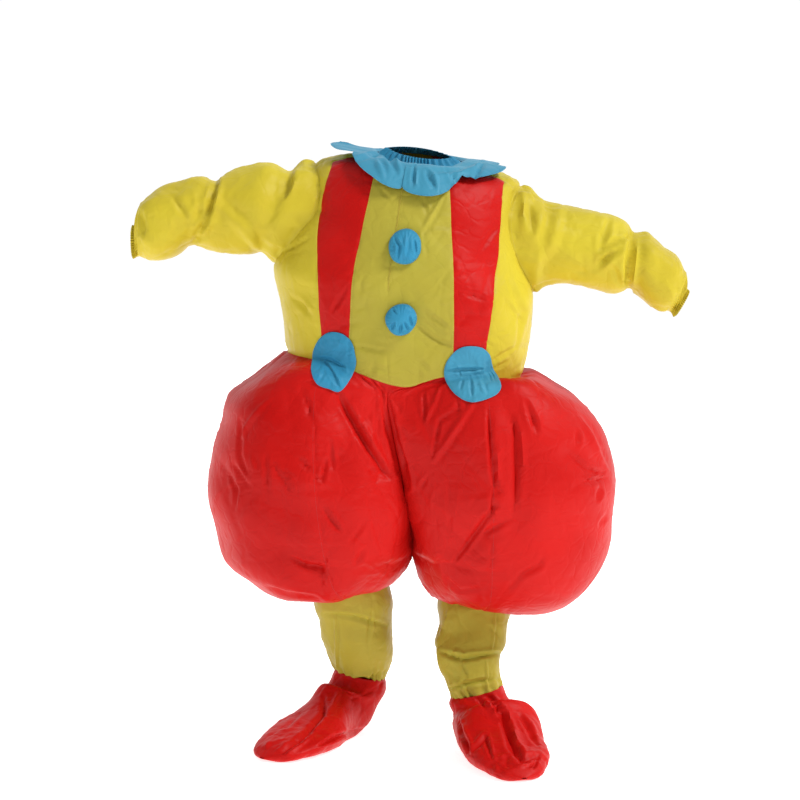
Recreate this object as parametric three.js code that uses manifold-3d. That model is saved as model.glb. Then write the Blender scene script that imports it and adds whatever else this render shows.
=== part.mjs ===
// Inflatable clown costume, full of air as it stands when it is worn, with nobody inside it.
// Units are millimetres. +X is the wearer's left, -Y is the front and +Z is up.
// The tables are measured from the floor. The last lines move the origin to the neck opening.
import * as THREE from 'three';
import { mergeVertices } from 'three/addons/utils/BufferGeometryUtils.js';
import Module from 'manifold-3d';

const wasm = await Module();
wasm.setup();

// Driving sizes
const CLOTH = 2;                  // thickness of the cloth wall
const SEAM_GAP = 0.3;             // space between two pieces at a seam
const LIE_GAP = 0.6;              // space under a piece that lies on a panel
const TILT = 0.11;                // drop in height for each millimetre to the wearer's left
const NECK = { x: 18, y: 0, z: 1310 };
const OPENING = { half: 74, rise: 13, frontRise: 20, flare: 4 };
// Where the waist hangs lowest, how wide its dip is to each side, and the height that it ends at
const BELLY = { middle: -20, toRight: 110, toLeft: 65, top: 1000 };
const GATHER = { cuff: 2.6, ankle: 3.2, neck: 3.0 };

const COLOURS = {
  yellow: 0xeadb3c, red: 0xcf2526, sky: 0x4a9dc6, black: 0x1c1d20,
};
const ROUGHNESS = { yellow: 0.42, red: 0.42, sky: 0.42, black: 0.5 };

// Tables and small helpers
const table = (columns, rows) => rows.map(
  (row) => Object.fromEntries(columns.map((column, index) => [column, row[index]])));

const between = (a, b, share) => a + (b - a) * share;

function rowAt(rows, key, value) {
  const upper = Math.min(rows.length - 1, Math.max(1, rows.findIndex((row) => row[key] >= value)));
  const index = value > rows.at(-1)[key] ? rows.length - 1 : upper;
  const low = rows[index - 1];
  const high = rows[index];
  const share = THREE.MathUtils.clamp((value - low[key]) / (high[key] - low[key]), 0, 1);
  return Object.fromEntries(Object.keys(low).map((name) => [name, between(low[name], high[name], share)]));
}

const power = (value, exponent) => Math.sign(value) * Math.abs(value) ** exponent;

const vector = (x, y, z) => new THREE.Vector3(x, y, z);

// Bodice: one ring of the torso for each row, and the seams that cross its front and back
const TORSO = table(
  ['height', 'middle', 'half', 'front', 'back', 'square', 'dip', 'rise'], [
    [845, -16, 259, 212, 205, 2.5, 36, 0],
    [868, -15, 264, 218, 209, 2.5, 22, 0],
    [905, -13, 272, 223, 213, 2.5, 6, 0],
    [960, -12, 280, 227, 216, 2.5, 0, 0],
    [1035, -15, 287, 224, 214, 2.5, 0, 0],
    [1068, -14, 275, 217, 209, 2.4, 0, 0],
    [1108, -10, 255, 207, 203, 2.4, 0, 0],
    [1155, 2, 237, 193, 191, 2.3, 0, 0],
    [1200, 6, 230, 177, 177, 2.3, 0, 0],
    [1238, 10, 229, 159, 161, 2.3, 0, 0],
    [1263, 14, 229, 142, 147, 2.2, 0, 0],
    [1279, 17, 219, 126, 133, 2.1, 4, 0],
    [1291, 18, 184, 111, 116, 2.0, 13, 4],
    [1299, 18, 140, 99, 101, 2.0, 24, 8],
    [1305, 18, 96, 88, 88, 2.0, 34, 12],
  ]);

const SEAMS = table(
  ['height', 'strapRightOuter', 'strapRightInner', 'zip', 'strapLeftInner', 'strapLeftOuter'], [
    [845, -196, -136, -50, 92, 158],
    [900, -197, -135, -54, 91, 162],
    [1000, -202, -130, -52, 90, 173],
    [1060, -204, -122, -46, 89, 183],
    [1110, -203, -112, -39, 88, 189],
    [1160, -198, -102, -31, 86, 192],
    [1220, -189, -89, -22, 83, 196],
    [1279, -172, -76, -12, 80, 204],
  ]);

// Panels in order round the torso, from the wearer's right side across the front and back again
const BODICE_PANELS = table(
  ['name', 'until', 'face', 'steps', 'colour'], [
    ['front_side_right', 'strapRightOuter', 'front', 5, 'yellow'],
    ['front_strap_right', 'strapRightInner', 'front', 3, 'red'],
    ['front_centre_right', 'zip', 'front', 3, 'yellow'],
    ['front_centre_left', 'strapLeftInner', 'front', 4, 'yellow'],
    ['front_strap_left', 'strapLeftOuter', 'front', 3, 'red'],
    ['front_side_left', 'side', 'front', 5, 'yellow'],
    ['back_side_left', 'strapLeftOuter', 'back', 5, 'yellow'],
    ['back_strap_left', 'strapLeftInner', 'back', 3, 'red'],
    ['back_centre', 'zip', 'back', 4, 'yellow'],
    ['back_centre', 'strapRightInner', 'back', 3, 'yellow'],
    ['back_strap_right', 'strapRightOuter', 'back', 3, 'red'],
    ['back_side_right', 'side', 'back', 5, 'yellow'],
  ]);

// Armholes, as ovals seen from the side, and the turns that a sleeve's points take round them
const ARMHOLE = { height: 1152, tall: 116, deep: 102, steps: 18, cutReach: 80 };

// Sleeves: the upper and lower edge of each ring, seen from the front, and half its depth
const SLEEVE_RIGHT = table(
  ['topX', 'topZ', 'lowX', 'lowZ', 'deep'], [
    [-243, 1297, -318, 1080, 106],
    [-268, 1276, -335, 1092, 95],
    [-308, 1292, -362, 1088, 99],
    [-360, 1286, -404, 1093, 94],
    [-408, 1273, -450, 1099, 86],
    [-437, 1254, -489, 1112, 80],
    [-466, 1263, -520, 1091, 82],
    [-511, 1252, -554, 1078, 84],
    [-565, 1236, -587, 1077, 74],
    [-601, 1205, -604, 1085, 56],
  ]);

const SLEEVE_LEFT = table(
  ['topX', 'topZ', 'lowX', 'lowZ', 'deep'], [
    [268, 1235, 279, 1008, 106],
    [290, 1213, 294, 1018, 96],
    [327, 1203, 321, 1024, 94],
    [378, 1193, 363, 1019, 88],
    [432, 1181, 413, 1009, 84],
    [475, 1162, 459, 1003, 78],
    [494, 1137, 487, 1012, 64],
    [527, 1139, 510, 990, 74],
    [565, 1110, 533, 970, 70],
    [598, 1082, 555, 961, 62],
    [613, 1050, 572, 964, 48],
  ]);

// Elastic casings that end the sleeves, gathered to the wrist
const CUFF_RIGHT = table(
  ['topX', 'topZ', 'lowX', 'lowZ', 'deep'], [
    [-609, 1176, -609, 1085, 43],
    [-614, 1152, -614, 1084, 34],
    [-621, 1154, -620, 1081, 36],
  ]);

const CUFF_LEFT = table(
  ['topX', 'topZ', 'lowX', 'lowZ', 'deep'], [
    [614, 1030, 578, 963, 40],
    [614, 1014, 583, 959, 33],
    [620, 1008, 587, 951, 35],
  ]);

// Trousers: the centre seam that both legs share, from under the waist down to the crotch
const RISE = table(
  ['innerZ', 'innerX', 'valleyFront', 'valleyBack', 'dip'], [
    [818, -52, 209, 200, 28],
    [784, -51, 206, 196, 18],
    [740, -45, 201, 192, 8],
    [686, -36, 195, 186, 2],
    [630, -25, 185, 176, 0],
    [575, -12, 167, 160, 0],
    [520, -4, 138, 134, 0],
    [472, 2, 96, 94, 0],
    [438, 4, 48, 48, 0],
    [424, 4, SEAM_GAP / 2, SEAM_GAP / 2, 0],
  ]);

// Trouser legs: the outer edge of each ring, where it is deepest, and its depth to front and back
const BALLOON_RIGHT = table(
  ['outerX', 'outerZ', 'deepX', 'front', 'back'], [
    [-312, 850, -231, 221, 212],
    [-360, 817, -240, 238, 226],
    [-400, 778, -244, 252, 240],
    [-424, 717, -247, 264, 252],
    [-443, 648, -248, 271, 258],
    [-456, 590, -246, 274, 260],
    [-451, 536, -241, 272, 258],
    [-440, 487, -234, 266, 252],
    [-427, 447, -227, 258, 245],
    [-415, 417, -221, 250, 238],
  ]);

const BALLOON_LEFT = table(
  ['outerX', 'outerZ', 'deepX', 'front', 'back'], [
    [288, 821, 205, 221, 212],
    [330, 800, 209, 238, 226],
    [370, 777, 211, 252, 240],
    [405, 736, 213, 264, 252],
    [434, 688, 214, 271, 258],
    [453, 628, 214, 274, 260],
    [458, 565, 213, 272, 258],
    [454, 505, 211, 266, 252],
    [445, 450, 210, 258, 245],
    [434, 413, 209, 250, 238],
  ]);

// Under the crotch each balloon closes in to the opening that the lower leg is sewn to
const BALLOON_RIGHT_LOW = table(
  ['innerZ', 'innerX', 'outerX', 'outerZ', 'deepX', 'front', 'back'], [
    [407, -2, -396, 390, -214, 240, 228],
    [387, -10, -370, 366, -205, 222, 212],
    [369, -21, -338, 343, -188, 196, 188],
    [357, -33, -299, 327, -174, 161, 156],
    [351, -43, -255, 324, -154, 120, 118],
    [349, -50, -214, 335, -132, 84, 82],
  ]);

const BALLOON_LEFT_LOW = table(
  ['innerZ', 'innerX', 'outerX', 'outerZ', 'deepX', 'front', 'back'], [
    [400, 9, 420, 380, 208, 240, 228],
    [370, 16, 398, 346, 205, 223, 213],
    [348, 28, 368, 318, 200, 198, 190],
    [332, 44, 325, 299, 188, 164, 158],
    [325, 56, 272, 293, 166, 122, 120],
    [322, 63, 225, 301, 144, 84, 82],
  ]);

// Lower legs: both edges of each ring seen from the front, its middle along Y and half its depth
const SHANK_RIGHT = table(
  ['innerX', 'innerZ', 'outerX', 'outerZ', 'centreY', 'deep'], [
    [-41, 306, -219, 297, 6, 86],
    [-44, 270, -210, 268, 14, 80],
    [-41, 222, -200, 222, 25, 76],
    [-42, 176, -189, 182, 38, 68],
    [-52, 140, -179, 156, 47, 58],
    [-60, 120, -171, 142, 50, 54],
  ]);

const SHANK_LEFT = table(
  ['innerX', 'innerZ', 'outerX', 'outerZ', 'centreY', 'deep'], [
    [60, 292, 224, 282, -8, 84],
    [60, 258, 216, 250, -22, 79],
    [51, 212, 210, 218, -40, 76],
    [60, 182, 199, 200, -58, 66],
    [74, 140, 196, 158, -70, 60],
    [90, 108, 202, 134, -77, 56],
  ]);

// Shoe covers: rings from the ankle to the toe. Along and high place a ring's middle, which side moves
// to the wearer's left of the foot's line, and lean turns the ring from lying flat to standing up
const SHOE_RIGHT = table(
  ['along', 'side', 'high', 'lean', 'wide', 'long'], [
    [14, -4, 96, 14, 62, 62],
    [36, -8, 80, 28, 64, 66],
    [46, -12, 66, 46, 62, 72],
    [74, -14, 54, 66, 62, 70],
    [116, -10, 44, 82, 70, 56],
    [172, 2, 35, 90, 84, 41],
    [232, 10, 28, 90, 86, 31],
    [290, 12, 22, 92, 76, 24],
    [338, 8, 14, 92, 50, 15],
  ]);
const SHOE_LEFT = table(
  ['along', 'side', 'high', 'lean', 'wide', 'long'], [
    [8, 8, 93, 14, 67, 64],
    [32, 20, 80, 28, 74, 70],
    [54, 22, 66, 46, 88, 78],
    [90, 20, 54, 66, 96, 72],
    [132, 16, 44, 82, 96, 56],
    [180, 10, 35, 90, 94, 42],
    [232, 6, 28, 90, 88, 34],
    [284, 2, 22, 92, 74, 27],
    [324, 0, 15, 92, 50, 17],
  ]);
const FOOT_RIGHT = { x: -113, y: 50, turn: 36, toeAlong: 362, toeHigh: 8 };
const FOOT_LEFT = { x: 145, y: -77, turn: -15, toeAlong: 348, toeHigh: 9 };

// The largest folds, seen from the front, each as a soft trough between two points
const FOLDS = table(
  ['cloth', 'face', 'fromX', 'fromZ', 'toX', 'toZ', 'wide', 'deep'], [
    ['trouser', 'front', -142, 774, -64, 632, 26, 12],
    ['trouser', 'front', -84, 780, -40, 650, 24, 8],
    ['trouser', 'front', -262, 455, -196, 415, 30, 9],
    ['trouser', 'front', 214, 756, 222, 540, 28, 8],
    ['trouser', 'front', 346, 668, 424, 604, 30, 12],
    ['trouser', 'front', 150, 506, 92, 446, 28, 9],
    ['trouser', 'back', 160, 796, 84, 620, 30, 11],
    ['trouser', 'back', -120, 780, -70, 640, 26, 9],
    ['trouser', 'back', -360, 660, -420, 600, 30, 11],
    ['bodice', 'front', 12, 942, 92, 890, 26, 6],
    ['bodice', 'front', 198, 1046, 236, 960, 28, 8],
    ['bodice', 'front', -232, 1010, -262, 930, 26, 7],
    ['bodice', 'back', -70, 960, 60, 915, 28, 6],
    ['bodice', 'back', -205, 1060, -240, 970, 28, 8],
  ]);

// Collar: two halves that part at the centre front, each cut with four petals. Its rim is a little way
// from the neck. Towards its edge it lifts off, most of all over the wearer's right shoulder
const COLLAR = {
  petals: 8, firstPetal: 4.5, notch: 72, petal: 80, frontNotch: 104, frontPetal: 122, scallop: 0.55,
  facing: 0.45, rows: 3, rim: 5, lift: 15, liftCurve: 0.35, tipLift: 12, tipFrom: -62, tipReach: 90,
  opening: 1.5,
};

// Pieces that lie on the front: half their size, how far they stand out, and how far round a point
// the cloth under it is looked at
const BUTTONS = table(
  ['name', 'x', 'z', 'wide', 'tall', 'puff', 'reach'], [
    ['button_upper', -14, 1109, 35, 38, 22, 0],
    ['button_lower', -23, 954, 34, 36, 22, 0],
  ]);
const DISCS = table(
  ['name', 'x', 'z', 'wide', 'tall', 'puff', 'reach'], [
    ['strap_disc_right', -167, 866, 47, 60, 4, 5],
    ['strap_disc_left', 124, 842, 61, 58, 4, 7.6],
  ]);
const PATCH = { rings: 6, steps: 20, buttonEdge: 3, clear: 1000 };

// Blower cover: a round plate with raised rings round its middle, and the spokes it is seated by
const BLOWER = { x: 0, z: 930, radius: 54, steps: 20, spokes: 16, spokeRings: 3 };
const BLOWER_PROFILE = table(
  ['radius', 'out'], [
    [0, 0], [54, 0], [54, 4], [46, 5], [44, 12], [40, 12], [38, 6], [32, 6], [30, 10], [26, 10],
    [24, 6], [18, 6], [16, 10], [0, 10],
  ]);

// The grid of a surface holds rows of points. Its normals come from the neighbouring points
function normalsOf(grid, loop) {
  const rows = grid.length;
  const columns = grid[0].length;
  const last = columns - 1;
  return grid.map((row, i) => row.map((point, j) => {
    const before = loop && j === 0 ? last - 1 : Math.max(0, j - 1);
    const after = loop && j === last ? 1 : Math.min(last, j + 1);
    const across = row[after].clone().sub(row[before]);
    const down = grid[Math.min(rows - 1, i + 1)][j].clone().sub(grid[Math.max(0, i - 1)][j]);
    return down.cross(across).normalize();
  }));
}

// Moves the points on one edge of a grid towards the row or column beside it
function pullIn(edge, neighbours, distance) {
  const moved = edge.map((point, index) => {
    const direction = neighbours[index].clone().sub(point).normalize();
    return point.clone().addScaledVector(direction, distance);
  });
  moved.forEach((point, index) => edge[index].copy(point));
}

const columnOf = (grid, j) => grid.map((row) => row[j]);

const turnsRound = (steps) => Array.from({ length: steps + 1 }, (_, step) => (2 * Math.PI * step) / steps);

// Two pieces that meet at a bend take the same direction there, so that their walls stay apart
function shareNormals(first, second) {
  const step = (second.length - 1) / (first.length - 1);
  first.forEach((normal, index) => {
    normal.add(second[index * step]).normalize();
    second[index * step].copy(normal);
  });
  if (step === 2) {
    first.slice(1).forEach((normal, index) => {
      second[2 * index + 1].copy(first[index]).add(normal).normalize();
    });
  }
}

// A closed body of cloth between an outer grid and the same grid moved in by the cloth's thickness
function clothGeometry(outer, normals, { loop = false, capped = false, thickness = CLOTH } = {}) {
  const inner = outer.map((row, i) => row.map(
    (point, j) => point.clone().addScaledVector(normals[i][j], -thickness)));
  return shellGeometry(outer, inner, { loop, capped });
}

function shellGeometry(outer, inner, { loop = false, capped = false } = {}) {
  const rows = outer.length;
  const columns = outer[0].length;
  const last = columns - 1;
  const positions = [];
  const triangle = (a, b, c) => [a, b, c].forEach((point) => positions.push(point.x, point.y, point.z));
  const quad = (a, b, c, d) => {
    triangle(a, b, c);
    triangle(a, c, d);
  };
  for (let i = 0; i < rows - 1; i += 1) {
    for (let j = 0; j < last; j += 1) {
      quad(outer[i][j], outer[i][j + 1], outer[i + 1][j + 1], outer[i + 1][j]);
      quad(inner[i][j], inner[i + 1][j], inner[i + 1][j + 1], inner[i][j + 1]);
    }
  }
  for (let j = 0; j < last; j += 1) {
    quad(outer[0][j + 1], outer[0][j], inner[0][j], inner[0][j + 1]);
    if (!capped) {
      quad(outer[rows - 1][j], outer[rows - 1][j + 1], inner[rows - 1][j + 1], inner[rows - 1][j]);
    }
  }
  if (!loop) {
    for (let i = 0; i < rows - 1; i += 1) {
      quad(outer[i][0], outer[i + 1][0], inner[i + 1][0], inner[i][0]);
      quad(outer[i][last], inner[i][last], inner[i + 1][last], outer[i + 1][last]);
    }
  }
  return closedGeometry(positions);
}

// Merges equal points, drops triangles with no area and turns the faces outwards
function closedGeometry(positions) {
  const loose = new THREE.BufferGeometry();
  loose.setAttribute('position', new THREE.Float32BufferAttribute(positions, 3));
  const merged = mergeVertices(loose, 1e-3);
  const source = merged.index.array;
  const kept = [];
  for (let start = 0; start < source.length; start += 3) {
    const [a, b, c] = [source[start], source[start + 1], source[start + 2]];
    if (a !== b && b !== c && c !== a) kept.push(a, b, c);
  }
  merged.setIndex(kept);
  if (volumeOf(merged) < 0) {
    for (let start = 0; start < kept.length; start += 3) {
      [kept[start], kept[start + 1]] = [kept[start + 1], kept[start]];
    }
    merged.setIndex(kept);
  }
  return merged;
}

function volumeOf(geometry) {
  const position = geometry.getAttribute('position');
  const index = geometry.index.array;
  const corners = [vector(), vector(), vector()];
  let total = 0;
  for (let start = 0; start < index.length; start += 3) {
    corners.forEach((corner, step) => corner.fromBufferAttribute(position, index[start + step]));
    total += corners[0].dot(corners[1].clone().cross(corners[2])) / 6;
  }
  return total;
}

function toManifold(geometry) {
  return new wasm.Manifold(new wasm.Mesh({
    numProp: 3,
    vertProperties: new Float32Array(geometry.getAttribute('position').array),
    triVerts: new Uint32Array(geometry.index.array),
  }));
}

function fromManifold(solid) {
  const mesh = solid.getMesh();
  const geometry = new THREE.BufferGeometry();
  geometry.setAttribute('position', new THREE.Float32BufferAttribute(mesh.vertProperties, 3));
  geometry.setIndex([...mesh.triVerts]);
  return geometry;
}

const pieces = new THREE.Group();

function addPiece(name, colour, geometry) {
  const shaded = geometry.clone();
  shaded.computeVertexNormals();
  const material = new THREE.MeshStandardMaterial({
    color: COLOURS[colour], roughness: ROUGHNESS[colour], metalness: 0,
  });
  const mesh = new THREE.Mesh(shaded, material);
  mesh.name = name;
  pieces.add(mesh);
  return mesh;
}

// Takes a run of columns from a whole surface, pulls its edges in for the seams and adds its cloth
function addPanel(name, colour, surface, from, to, cut) {
  const grid = surface.grid.map((row) => row.slice(from, to + 1).map((point) => point.clone()));
  const normals = surface.normals.map((row) => row.slice(from, to + 1));
  pullIn(columnOf(grid, 0), columnOf(grid, 1), SEAM_GAP / 2);
  pullIn(columnOf(grid, to - from), columnOf(grid, to - from - 1), SEAM_GAP / 2);
  pullIn(grid[0], grid[1], SEAM_GAP / 2);
  pullIn(grid.at(-1), grid.at(-2), SEAM_GAP / 2);
  const geometry = clothGeometry(grid, normals);
  if (!cut) return addPiece(name, colour, geometry);
  return addPiece(name, colour, fromManifold(toManifold(geometry).subtract(cut)));
}

// How far a place lies from a fold's line, as a share of the fold's width
function foldDistance(fold, point) {
  const line = new THREE.Line3(vector(fold.fromX, 0, fold.fromZ), vector(fold.toX, 0, fold.toZ));
  const place = vector(point.x, 0, point.z);
  return line.closestPointToPoint(place, true, vector()).distanceTo(place) / fold.wide;
}

// Presses the folds into a grid. Its first and last rows, and its last columns, are seams and stay
function creased(grid, cloth, seamColumns = 0) {
  const folds = FOLDS.filter((fold) => fold.cloth === cloth);
  const last = grid[0].length - 1;
  grid.slice(1, -1).forEach((row) => row.forEach((point, column) => {
    if (column < seamColumns || column > last - seamColumns) return;
    const face = point.y < 0 ? 'front' : 'back';
    const inward = -Math.sign(point.y);
    folds.filter((fold) => fold.face === face).forEach((fold) => {
      point.y += inward * fold.deep * Math.exp(-(foldDistance(fold, point) ** 2));
    });
  }));
  return grid;
}

// How much of a ring's dip a place on the front takes. The waist hangs lowest to the right of the middle
function bellyAt(x) {
  const offset = x - BELLY.middle;
  return Math.exp(-((offset / (offset < 0 ? BELLY.toRight : BELLY.toLeft)) ** 2));
}

// Torso surface. A turn of 0 is the wearer's right side, half pi is the front, pi is the left side
function torsoPoint(ring, turn) {
  const x = ring.middle - ring.half * power(Math.cos(turn), 2 / ring.square);
  const depth = Math.sin(turn) > 0 ? ring.front : ring.back;
  const y = -depth * power(Math.sin(turn), 2 / ring.square);
  const atFront = Math.sin(turn) > 0;
  const sunk = ring.height < BELLY.top ? bellyAt(x) : Math.sin(turn) ** 2;
  const forward = atFront ? sunk : 0;
  const backward = atFront ? 0 : Math.sin(turn) ** 2;
  return vector(x, y, ring.height - TILT * x - ring.dip * forward + ring.rise * backward);
}

function seamTurn(ring, seam, face) {
  if (seam === 'side') return face === 'front' ? Math.PI : 2 * Math.PI;
  const highest = SEAMS.at(-1).height;
  const measured = ring.height > highest ? TORSO.find((row) => row.height === highest) : ring;
  const share = (rowAt(SEAMS, 'height', measured.height)[seam] - measured.middle) / measured.half;
  const turn = Math.acos(-power(share, measured.square / 2));
  return face === 'front' ? turn : 2 * Math.PI - turn;
}

function torsoRow(ring) {
  const row = [torsoPoint(ring, 0)];
  let turn = 0;
  BODICE_PANELS.forEach((panel) => {
    const next = seamTurn(ring, panel.until, panel.face);
    for (let step = 1; step <= panel.steps; step += 1) {
      row.push(torsoPoint(ring, between(turn, next, step / panel.steps)));
    }
    turn = next;
  });
  return row;
}

const torsoGrid = creased(TORSO.map(torsoRow).reverse(), 'bodice');
const torso = { grid: torsoGrid, normals: normalsOf(torsoGrid, true) };
const waistRow = torsoGrid.at(-1);
const neckRow = torsoGrid[0];

// The side of the torso at a depth and a height, for the armhole seam
function armholePoint(side, turn, grow = 0) {
  const height = ARMHOLE.height + (ARMHOLE.tall + grow) * Math.cos(turn);
  const y = -(ARMHOLE.deep + grow) * Math.sin(turn);
  const ring = rowAt(TORSO, 'height', height);
  const depth = y < 0 ? ring.front : ring.back;
  const reach = ring.half * (1 - Math.abs(y / depth) ** ring.square) ** (1 / ring.square);
  const x = ring.middle + side * reach;
  return vector(x, y, height - TILT * x);
}

function armholeCutter(side) {
  const rim = turnsRound(ARMHOLE.steps).map((turn) => armholePoint(side, turn, SEAM_GAP));
  const slide = (distance) => rim.map((point) => point.clone().add(vector(distance, 0, -TILT * distance)));
  const [near, far] = [slide(-ARMHOLE.cutReach), slide(ARMHOLE.cutReach)];
  const positions = [];
  const triangle = (a, b, c) => [a, b, c].forEach((point) => positions.push(point.x, point.y, point.z));
  for (let step = 0; step < ARMHOLE.steps; step += 1) {
    triangle(near[step], near[step + 1], far[step + 1]);
    triangle(near[step], far[step + 1], far[step]);
    if (step > 0 && step < ARMHOLE.steps - 1) {
      triangle(near[0], near[step + 1], near[step]);
      triangle(far[0], far[step], far[step + 1]);
    }
  }
  return toManifold(closedGeometry(positions));
}

const armholes = { right: armholeCutter(-1), left: armholeCutter(1) };

function buildBodice() {
  let from = 0;
  const runs = new Map();
  BODICE_PANELS.forEach((panel) => {
    const run = runs.get(panel.name) ?? { from, colour: panel.colour };
    run.to = from + panel.steps;
    runs.set(panel.name, run);
    from = run.to;
  });
  runs.forEach((run, name) => {
    const cut = name.includes('_side_') ? armholes[name.split('_').at(-1)] : undefined;
    addPanel(name, run.colour, torso, run.from, run.to, cut);
  });
}

// Sleeves and cuffs. A turn of 0 is the top of a ring, and the front comes next
function armRing(row, steps, wave = 0) {
  return Array.from({ length: steps + 1 }, (_, step) => {
    const turn = (2 * Math.PI * step) / steps;
    const ripple = 1 + (wave / row.deep) * (step % 2 ? -1 : 1);
    const share = 0.5 + 0.5 * Math.cos(turn) * ripple;
    const depth = -row.deep * Math.sin(turn) * ripple;
    return vector(between(row.lowX, row.topX, share), depth, between(row.lowZ, row.topZ, share));
  });
}

const withMidpoints = (ring) => ring.flatMap((point, index) => (
  index === ring.length - 1 ? [point] : [point, point.clone().lerp(ring[index + 1], 0.5)]));

function buildSleeve(name, side, rows, cuffRows) {
  const seam = turnsRound(ARMHOLE.steps).map((turn) => armholePoint(side, turn, -SEAM_GAP));
  const grid = [seam, ...rows.map((row) => armRing(row, ARMHOLE.steps))];
  const cuffGrid = [
    withMidpoints(grid.at(-1)),
    ...cuffRows.map((row) => armRing(row, 2 * ARMHOLE.steps, GATHER.cuff)),
  ].map((row) => row.map((point) => point.clone()));
  const outward = side < 0 ? (list) => list : (list) => list.map((row) => [...row].reverse());
  const sleeve = outward(grid.map((row) => row.map((point) => point.clone())));
  const cuff = outward(cuffGrid);
  const sleeveNormals = normalsOf(sleeve, true);
  const cuffNormals = normalsOf(cuff, true);
  shareNormals(sleeveNormals.at(-1), cuffNormals[0]);
  pullIn(sleeve.at(-1), sleeve.at(-2), SEAM_GAP / 2);
  pullIn(cuff[0], cuff[1], SEAM_GAP / 2);
  addPiece(`sleeve_${name}`, 'yellow', clothGeometry(sleeve, sleeveNormals, { loop: true }));
  addPiece(`cuff_${name}`, 'yellow', clothGeometry(cuff, cuffNormals, { loop: true }));
}

// A ring of a trouser leg. Its place runs from 0 at the centre front, through 1 where it is deepest
// in front, 2 at the outer side and 3 at the back, to 4 at the centre back
const FULLNESS = 0.88;

function balloonPoint(row, place) {
  const quarter = Math.PI / 2;
  const atFront = place <= 2;
  const depth = atFront ? row.front : row.back;
  const valley = atFront ? row.valleyFront : row.valleyBack;
  const way = atFront ? place : 4 - place;
  const inner = way <= 1;
  const angle = (inner ? way : way - 1) * quarter;
  const x = inner
    ? between(row.innerX, row.deepX, 1 - power(Math.cos(angle), FULLNESS))
    : between(row.deepX, row.outerX, power(Math.sin(angle), FULLNESS));
  const reach = inner
    ? between(valley, depth, power(Math.sin(angle), FULLNESS))
    : depth * power(Math.cos(angle), FULLNESS);
  const share = (x - row.innerX) / (row.outerX - row.innerX);
  const sag = atFront ? (row.dip ?? 0) * bellyAt(x) : 0;
  const z = between(row.innerZ, row.outerZ, share) - sag;
  return vector(x, (atFront ? -reach : reach) + (row.centreY ?? 0), z);
}

// Where the columns of the waist fall on a trouser leg, so that bodice and trousers share them
const PLACES = { front: 0.9, side: 2, back: 3.1, end: 4 };

function balloonPlaces(counts) {
  const stops = [0, PLACES.front, PLACES.side, PLACES.back, PLACES.end];
  const places = [0];
  counts.forEach((count, panel) => {
    for (let step = 1; step <= count; step += 1) {
      places.push(between(stops[panel], stops[panel + 1], step / count));
    }
  });
  return places;
}

const stepsOf = (names) => (
  BODICE_PANELS.filter((panel) => names.includes(panel.name)).map((panel) => panel.steps));
const sum = (numbers) => numbers.reduce((total, number) => total + number, 0);

// Counts of columns from the front seam, by leg: inner front, outer front, outer back, inner back
const zipColumn = sum(BODICE_PANELS.slice(0, 3).map((panel) => panel.steps));
const BACK_CENTRE = stepsOf(['back_centre']);
const COLUMNS = {
  right: [
    sum(stepsOf(['front_strap_right', 'front_centre_right'])), sum(stepsOf(['front_side_right'])),
    sum(stepsOf(['back_side_right'])), sum(stepsOf(['back_strap_right'])) + BACK_CENTRE[1],
  ],
  left: [
    sum(stepsOf(['front_strap_left', 'front_centre_left'])), sum(stepsOf(['front_side_left'])),
    sum(stepsOf(['back_side_left'])), sum(stepsOf(['back_strap_left'])) + BACK_CENTRE[0],
  ],
};

// The waist's points that belong to one leg, from the centre front to the centre back
function waistOf(leg) {
  const around = waistRow.length - 1;
  const total = sum(COLUMNS[leg]);
  const way = leg === 'right' ? -1 : 1;
  return Array.from({ length: total + 1 }, (_, step) => (
    waistRow[(zipColumn + way * step + around) % around].clone()));
}

function balloonGrid(leg, upper, lower) {
  const side = leg === 'right' ? -1 : 1;
  const places = balloonPlaces(COLUMNS[leg]);
  const high = upper.map((row, index) => ({ ...row, ...RISE[index] }));
  high.forEach((row) => { row.innerX += (side * SEAM_GAP) / 2; });
  const low = lower.map((row) => ({ ...row, valleyFront: 0, valleyBack: 0 }));
  const waist = waistOf(leg);
  [waist[0], waist.at(-1)].forEach((point) => { point.x += (side * SEAM_GAP) / 2; });
  return [waist, ...[...high, ...low].map((row) => places.map((place) => balloonPoint(row, place)))];
}

function shankGrid(leg, opening, rows) {
  const places = balloonPlaces(COLUMNS[leg]);
  const gathered = rows.length - 2;
  const rings = rows.map((row, index) => {
    const full = {
      ...row,
      deepX: (row.innerX + row.outerX) / 2,
      front: row.deep,
      back: row.deep,
      valleyFront: 0,
      valleyBack: 0,
    };
    const centre = vector(full.deepX, row.centreY, (row.innerZ + row.outerZ) / 2);
    const wave = index >= gathered ? GATHER.ankle : 0;
    const points = places.map((place) => balloonPoint(full, place));
    return points.map((point, step) => {
      const ripple = step === points.length - 1 ? 0 : step;
      return point.clone().addScaledVector(
        point.clone().sub(centre).setZ(0).normalize(), ripple % 2 ? wave : -wave);
    });
  });
  return [opening.map((point) => point.clone()), ...rings];
}

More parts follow.
